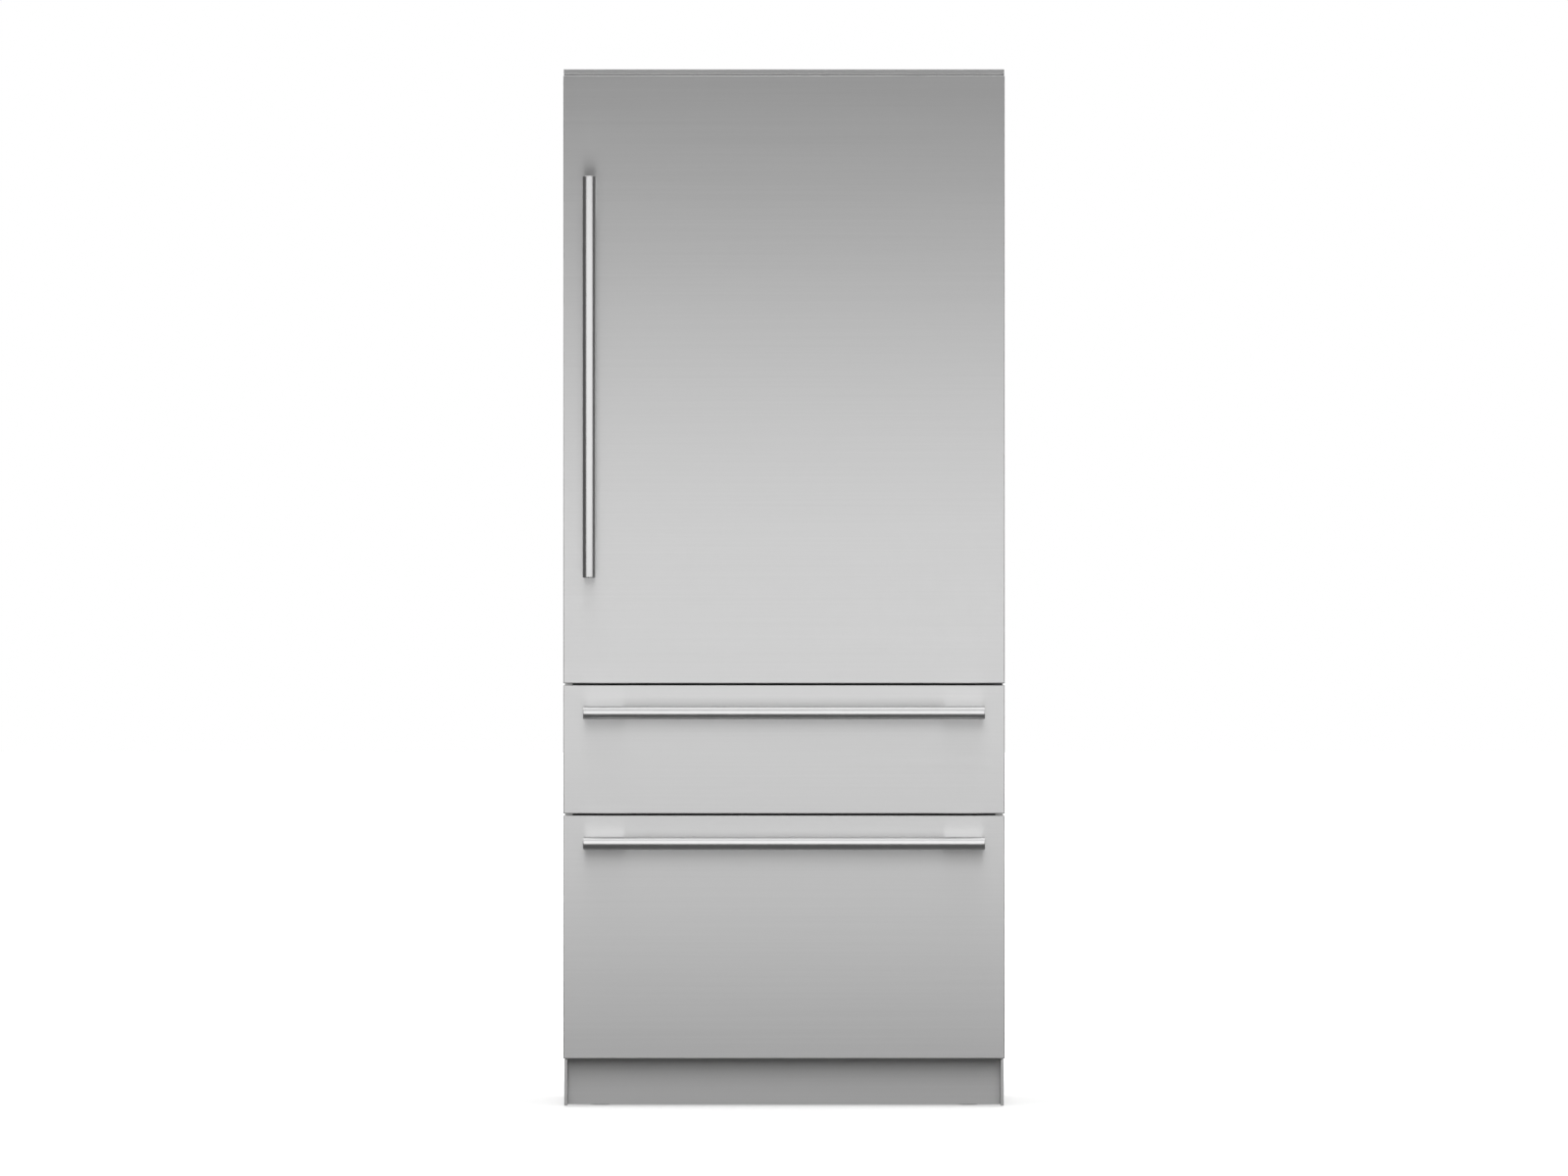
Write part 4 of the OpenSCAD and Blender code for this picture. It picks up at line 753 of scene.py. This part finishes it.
def floor_ribs(form, rect, z):
    """Low ribs along Y that stiffen a floor whose top is at z."""
    pitch = (rect[1] - rect[0] - 2 * RIB_IN) / (RIBS - 1)
    for number in range(RIBS):
        x = rect[0] + RIB_IN + number * pitch
        rib = (x - RIB_HALF, x + RIB_HALF, rect[2] + RIB_IN, rect[3] - RIB_IN)
        form.slab("z", z - 0.4 * MM, z + 1.6 * MM, rib, RIB_HALF, 1.4 * MM)


def make_boxes():
    """Moulded boxes of the two drawers."""
    rect, floor, mouth = rect_of("upper_box", "z")
    upper = Form().tub("z", mouth, floor, rect, BOX_WALL, BOX_CORNER, BOX_CORNER)
    floor_ribs(upper, rect, floor + BOX_WALL)
    upper.piece("upper_box_tub", "white_plastic", "upper_drawer", "upper_box")
    rect, floor, mouth = rect_of("lower_box", "z")
    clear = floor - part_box("drawer_liners")[0].z
    deep = (rect[0], rect[1], rect[2], STEP_Y - clear)
    lower = stepped_tub(mouth, STEP_Z + clear, floor, "z", rect, deep, BOX_WALL, BOX_CORNER, BOX_CORNER)
    floor_ribs(lower, deep, floor + BOX_WALL)
    lower.piece("lower_box_tub", "white_plastic", "lower_drawer", "lower_box")


# ---------------------------------------------------------------- outside of the cabinet

SIDE_SCREWS = 7                    # down the rear edge of each side panel
BACK_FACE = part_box("back_panel")[1].y
BEAD_HALF = 9 * MM
BEADS = (-300, -100, 100, 300)     # places across the back in millimetres
PLUGS = (-200, 200)
PLUG_LEVELS = (-300, 450)          # from the middle of the back panel, in millimetres
TOP_SCREWS = (-400, -200, 0, 200, 400)
TOP_SCREW_R = 3.6 * MM


def make_trim_lip():
    """Turned-down hem at the front of the top trim."""
    low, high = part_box("top_trim")
    side_in = 3 * MM
    rect = (low.x + side_in, high.x - side_in, low.z - 1.6 * MM, low.z + 0.4 * MM)
    lip = Form().slab("y", low.y + 0.6 * MM, low.y + 2.0 * MM, rect, 0.4 * MM, 0.3 * MM)
    lip.piece("trim_lip", "stainless_steel", "cabinet")


def make_back_hems():
    """Folded hems at both sides of the back."""
    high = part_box("back_panel")[1]
    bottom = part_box("side_panels")[0].z + 1 * MM
    hem_low = (high.x - 16 * MM, BACK_FACE - 0.2 * MM, bottom)
    hem_high = (high.x + 0.8 * MM, BACK_FACE + 0.8 * MM, high.z)
    hems = Form()
    for side in SIDES:
        hems.block(*mirrored(hem_low, hem_high, side), round_off=0.4 * MM)
    hems.piece("back_hems", "cabinet_steel", "cabinet")


def make_side_screws():
    """Screws down the rear edge of each side panel."""
    low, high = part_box("side_panels")
    end = 150 * MM
    pitch = (high.z - low.z - 2 * end) / (SIDE_SCREWS - 1)
    screws = Form()
    for side in SIDES:
        for number in range(SIDE_SCREWS):
            place = (side * high.x, high.y - 24 * MM, low.z + end + number * pitch)
            screws.screw(place, "x", side, 3.4 * MM)
    screws.piece("side_screws", "screw_steel", "cabinet")


def make_back_beads():
    """Long beads pressed into the back panel."""
    low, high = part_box("back_panel")
    middle = (low.z + high.z) / 2
    half_h = (high.z - low.z) / 2 - 130 * MM
    beads = Form()
    for x in BEADS:
        rect = around(x * MM, middle, BEAD_HALF, half_h)
        beads.slab("y", BACK_FACE - 0.4 * MM, BACK_FACE + 1.8 * MM, rect, BEAD_HALF, 1.7 * MM)
    beads.piece("back_beads", "back_steel", "cabinet")


def make_cover_lip():
    """Lip over the seam between the back panel and the machine room cover."""
    low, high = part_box("back_panel")
    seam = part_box("machine_cover")[1].z
    side_in = 0.5 * MM
    rect = (low.x + side_in, high.x - side_in, seam - 5 * MM, seam + 2 * MM)
    lip = Form().slab("y", BACK_FACE - 0.3 * MM, BACK_FACE + 0.9 * MM, rect, 0.6 * MM, 0.5 * MM)
    lip.piece("cover_lip", "zinc_steel", "cabinet")


def make_foam_plugs():
    """Plugs in the holes through which the foam is filled in."""
    low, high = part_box("back_panel")
    middle = (low.z + high.z) / 2
    out = 2.2 * MM
    profile = ((-0.3 * MM, 13 * MM), (0.9 * MM, 13 * MM), (out, 11 * MM), (out, 5 * MM), (1.2 * MM, 4 * MM))
    plugs = Form()
    for x in PLUGS:
        for level in PLUG_LEVELS:
            plugs.lathe((x * MM, BACK_FACE, middle + level * MM), "y", profile, steps=36)
    plugs.piece("foam_plugs", "black_plastic", "cabinet")


def make_wiring_cover():
    """Low pressed cover on the top."""
    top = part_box("top_panel")[1].z
    rect = (-150 * MM, 150 * MM, 90 * MM, 250 * MM)
    corner = 10 * MM
    flange = [(top - 0.2 * MM, rect, corner), (top + 1.2 * MM, rect, corner)]
    dome = edge(top + 9.4 * MM, 1, grown(rect, -12 * MM), 8 * MM, 2.5 * MM)
    Form().loft("z", flange + dome).piece("wiring_cover", "base_steel", "cabinet")


def make_top_screws():
    """Screws of the wiring cover and of the top trim."""
    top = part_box("top_panel")[1].z
    trim_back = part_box("top_trim")[1].y
    screws = Form()
    for x in (-143 * MM, 143 * MM):
        for y in (98 * MM, 242 * MM):
            screws.screw((x, y, top + 1.0 * MM), "z", 1, TOP_SCREW_R)
    for x in TOP_SCREWS:
        screws.screw((x * MM, trim_back + 12 * MM, top), "z", 1, TOP_SCREW_R)
    screws.piece("top_screws", "screw_steel", "cabinet")


# ---------------------------------------------------------------- studio

DIM = 0.11                         # horizon and floor, as reflections see them
AMBIENT = 0.3
SHADOW_GLOW = 0.5                  # weak glow of the floor near the object, so that a shadow shows
SHADOW_NEAR = 0.9                  # distances between which the glow grows to full white
SHADOW_FAR = 2.0
FLOOR_REACH = 60
FACE_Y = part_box("door_panel")[0].y
CAMERA_AWAY = 28.0                 # far off, so that the view is nearly without perspective
CAMERA_Z = 1.067                   # half the object's height
LENS = 312.6                       # focal length in millimetres
PURE_WHITE = (1, 1, 1, 1)


def background_rays(tree):
    """What camera and glass rays see, and what reflections see, as factors 0 or 1."""
    path = add(tree, "LightPath")
    seen = add(tree, "Math", operation="MAXIMUM")
    tree.links.new(path.outputs["Is Camera Ray"], seen.inputs[0])
    tree.links.new(path.outputs["Is Transmission Ray"], seen.inputs[1])
    return seen.outputs[0], path.outputs["Is Glossy Ray"]


def mix_shaders(tree, factor, first, second):
    """The first shader where the factor is 0, and the second where it is 1."""
    mix = add(tree, "MixShader")
    tree.links.new(factor, mix.inputs[0])
    tree.links.new(first, mix.inputs[1])
    tree.links.new(second, mix.inputs[2])
    return mix.outputs[0]


def make_world():
    """White behind the object; reflections see a dim horizon under a bright ceiling."""
    world = bpy.data.worlds.new("studio")
    scene.world = world
    world.use_nodes = True
    tree = world.node_tree
    tree.nodes.clear()
    seen, glossy = background_rays(tree)
    place = add(tree, "TexCoord")
    parts = add(tree, "SeparateXYZ")
    tree.links.new(place.outputs["Generated"], parts.inputs[0])
    up = map_range(tree, parts.outputs["Z"], 0.25, 0.9, DIM, 1.0, interpolation_type="SMOOTHSTEP")
    ambient = add(tree, "Background", Color=PURE_WHITE, Strength=AMBIENT)
    mirror = add(tree, "Background", Color=PURE_WHITE)
    tree.links.new(up, mirror.inputs["Strength"])
    white = add(tree, "Background", Color=PURE_WHITE, Strength=1.0)
    inner = mix_shaders(tree, glossy, ambient.outputs[0], mirror.outputs[0])
    out = add(tree, "OutputWorld")
    tree.links.new(mix_shaders(tree, seen, inner, white.outputs[0]), out.inputs["Surface"])


def make_floor():
    """Pale floor: white to the camera, with the object's shadow near it, and dim in reflections."""
    mesh = bpy.data.meshes.new("floor")
    reach = FLOOR_REACH
    corners = [(-reach, -reach, 0), (reach, -reach, 0), (reach, reach, 0), (-reach, reach, 0)]
    mesh.from_pydata(corners, [], [(0, 1, 2, 3)])
    obj = bpy.data.objects.new("floor", mesh)
    scene.collection.objects.link(obj)
    mat, tree, shader = material("floor")
    shader.inputs["Base Color"].default_value = (0.8, 0.8, 0.8, 1)
    shader.inputs["Roughness"].default_value = 0.9
    shader.inputs["Specular IOR Level"].default_value = 0.1
    shader.inputs["Emission Color"].default_value = PURE_WHITE
    seen, glossy = background_rays(tree)
    place = add(tree, "TexCoord")
    away = add(tree, "VectorMath", operation="LENGTH")
    tree.links.new(place.outputs["Object"], away.inputs[0])
    glow = map_range(tree, away.outputs["Value"], SHADOW_NEAR, SHADOW_FAR, SHADOW_GLOW, 1.0,
                     interpolation_type="SMOOTHSTEP")
    camera_glow = add(tree, "Math", operation="MULTIPLY")
    tree.links.new(seen, camera_glow.inputs[0])
    tree.links.new(glow, camera_glow.inputs[1])
    tree.links.new(camera_glow.outputs[0], shader.inputs["Emission Strength"])
    mirror = add(tree, "Emission", Color=PURE_WHITE, Strength=DIM)
    out = tree.nodes["Material Output"]
    tree.links.new(mix_shaders(tree, glossy, shader.outputs[0], mirror.outputs[0]), out.inputs["Surface"])
    obj.data.materials.append(mat)


def make_camera():
    """Level camera in front of the object."""
    data = bpy.data.cameras.new("camera")
    data.sensor_width = 36
    data.lens = LENS
    data.clip_end = 200
    obj = bpy.data.objects.new("camera", data)
    obj.location = (0, FACE_Y - CAMERA_AWAY, CAMERA_Z)
    obj.rotation_euler = (math.radians(90), 0, 0)
    scene.collection.objects.link(obj)
    scene.camera = obj


def area_light(name, place, aim, width, height, power):
    """Rectangular lamp at a place, turned towards a point, that the camera doesn't see."""
    light = bpy.data.lights.new(name, "AREA")
    light.shape = "RECTANGLE"
    light.size = width
    light.size_y = height
    light.energy = power
    obj = bpy.data.objects.new(name, light)
    obj.location = place
    obj.rotation_euler = (Vector(aim) - Vector(place)).to_track_quat("-Z", "Y").to_euler()
    obj.visible_camera = False
    scene.collection.objects.link(obj)
    return obj


def light_only(lamps, listed, state):
    """Lamps that leave the listed objects out, or light nothing else."""
    group = bpy.data.collections.new("listed_for_" + lamps[0].name)
    for obj in listed:
        group.objects.link(obj)
    for entry in group.collection_objects:
        entry.light_linking.link_state = state
    for lamp in lamps:
        lamp.light_linking.receiver_collection = group


def make_lamps():
    """Wide front softbox, softer lamps on the other sides, and a taller one for the upright handle."""
    lamp_y = FACE_Y - 1.5
    level = 0.98
    front = area_light("front", (0, lamp_y, level), (0, 0, level), width=4.4, height=1.4, power=24)
    sides = []
    for side in SIDES:
        place = (side * 3.5, 1.2, 2.0)
        aim = (side * 0.45, 0.1, 1.0)
        sides.append(area_light("side_%d" % side, place, aim, width=2.6, height=3.0, power=36))
    area_light("back", (0, 4.2, 1.8), (0, 0.3, 1.0), width=4.0, height=3.0, power=40)
    top = area_light("top", (0, 0.3, 4.6), (0, 0.1, 2.0), width=3.0, height=3.0, power=24)
    low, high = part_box("door_handle")
    middle = (low.z + high.z) / 2
    tall = area_light("tall", (0, lamp_y, middle), (0, 0, middle), width=4.4, height=1.6, power=25)
    handle = [NODES["door_handle"]]
    light_only([front] + sides, handle, "EXCLUDE")
    light_only([tall], handle, "INCLUDE")
    light_only([top], [NODES["top_trim"]], "EXCLUDE")


dress_nodes()
make_fridge_liner()
make_drawer_liners()
make_breakers()
make_lights()
make_display()
make_button_marks()
make_duct_details()
make_gasket("door_gasket", "door")
make_gasket("upper_gasket", "upper_drawer")
make_gasket("lower_gasket", "lower_drawer")
make_door_liner()
make_bins()
for side in SIDES:
    make_crisper(side)
make_boxes()
make_trim_lip()
make_back_hems()
make_side_screws()
make_back_beads()
make_cover_lip()
make_foam_plugs()
make_wiring_cover()
make_top_screws()
make_world()
make_floor()
make_camera()
make_lamps()

scene.view_settings.view_transform = "Standard"
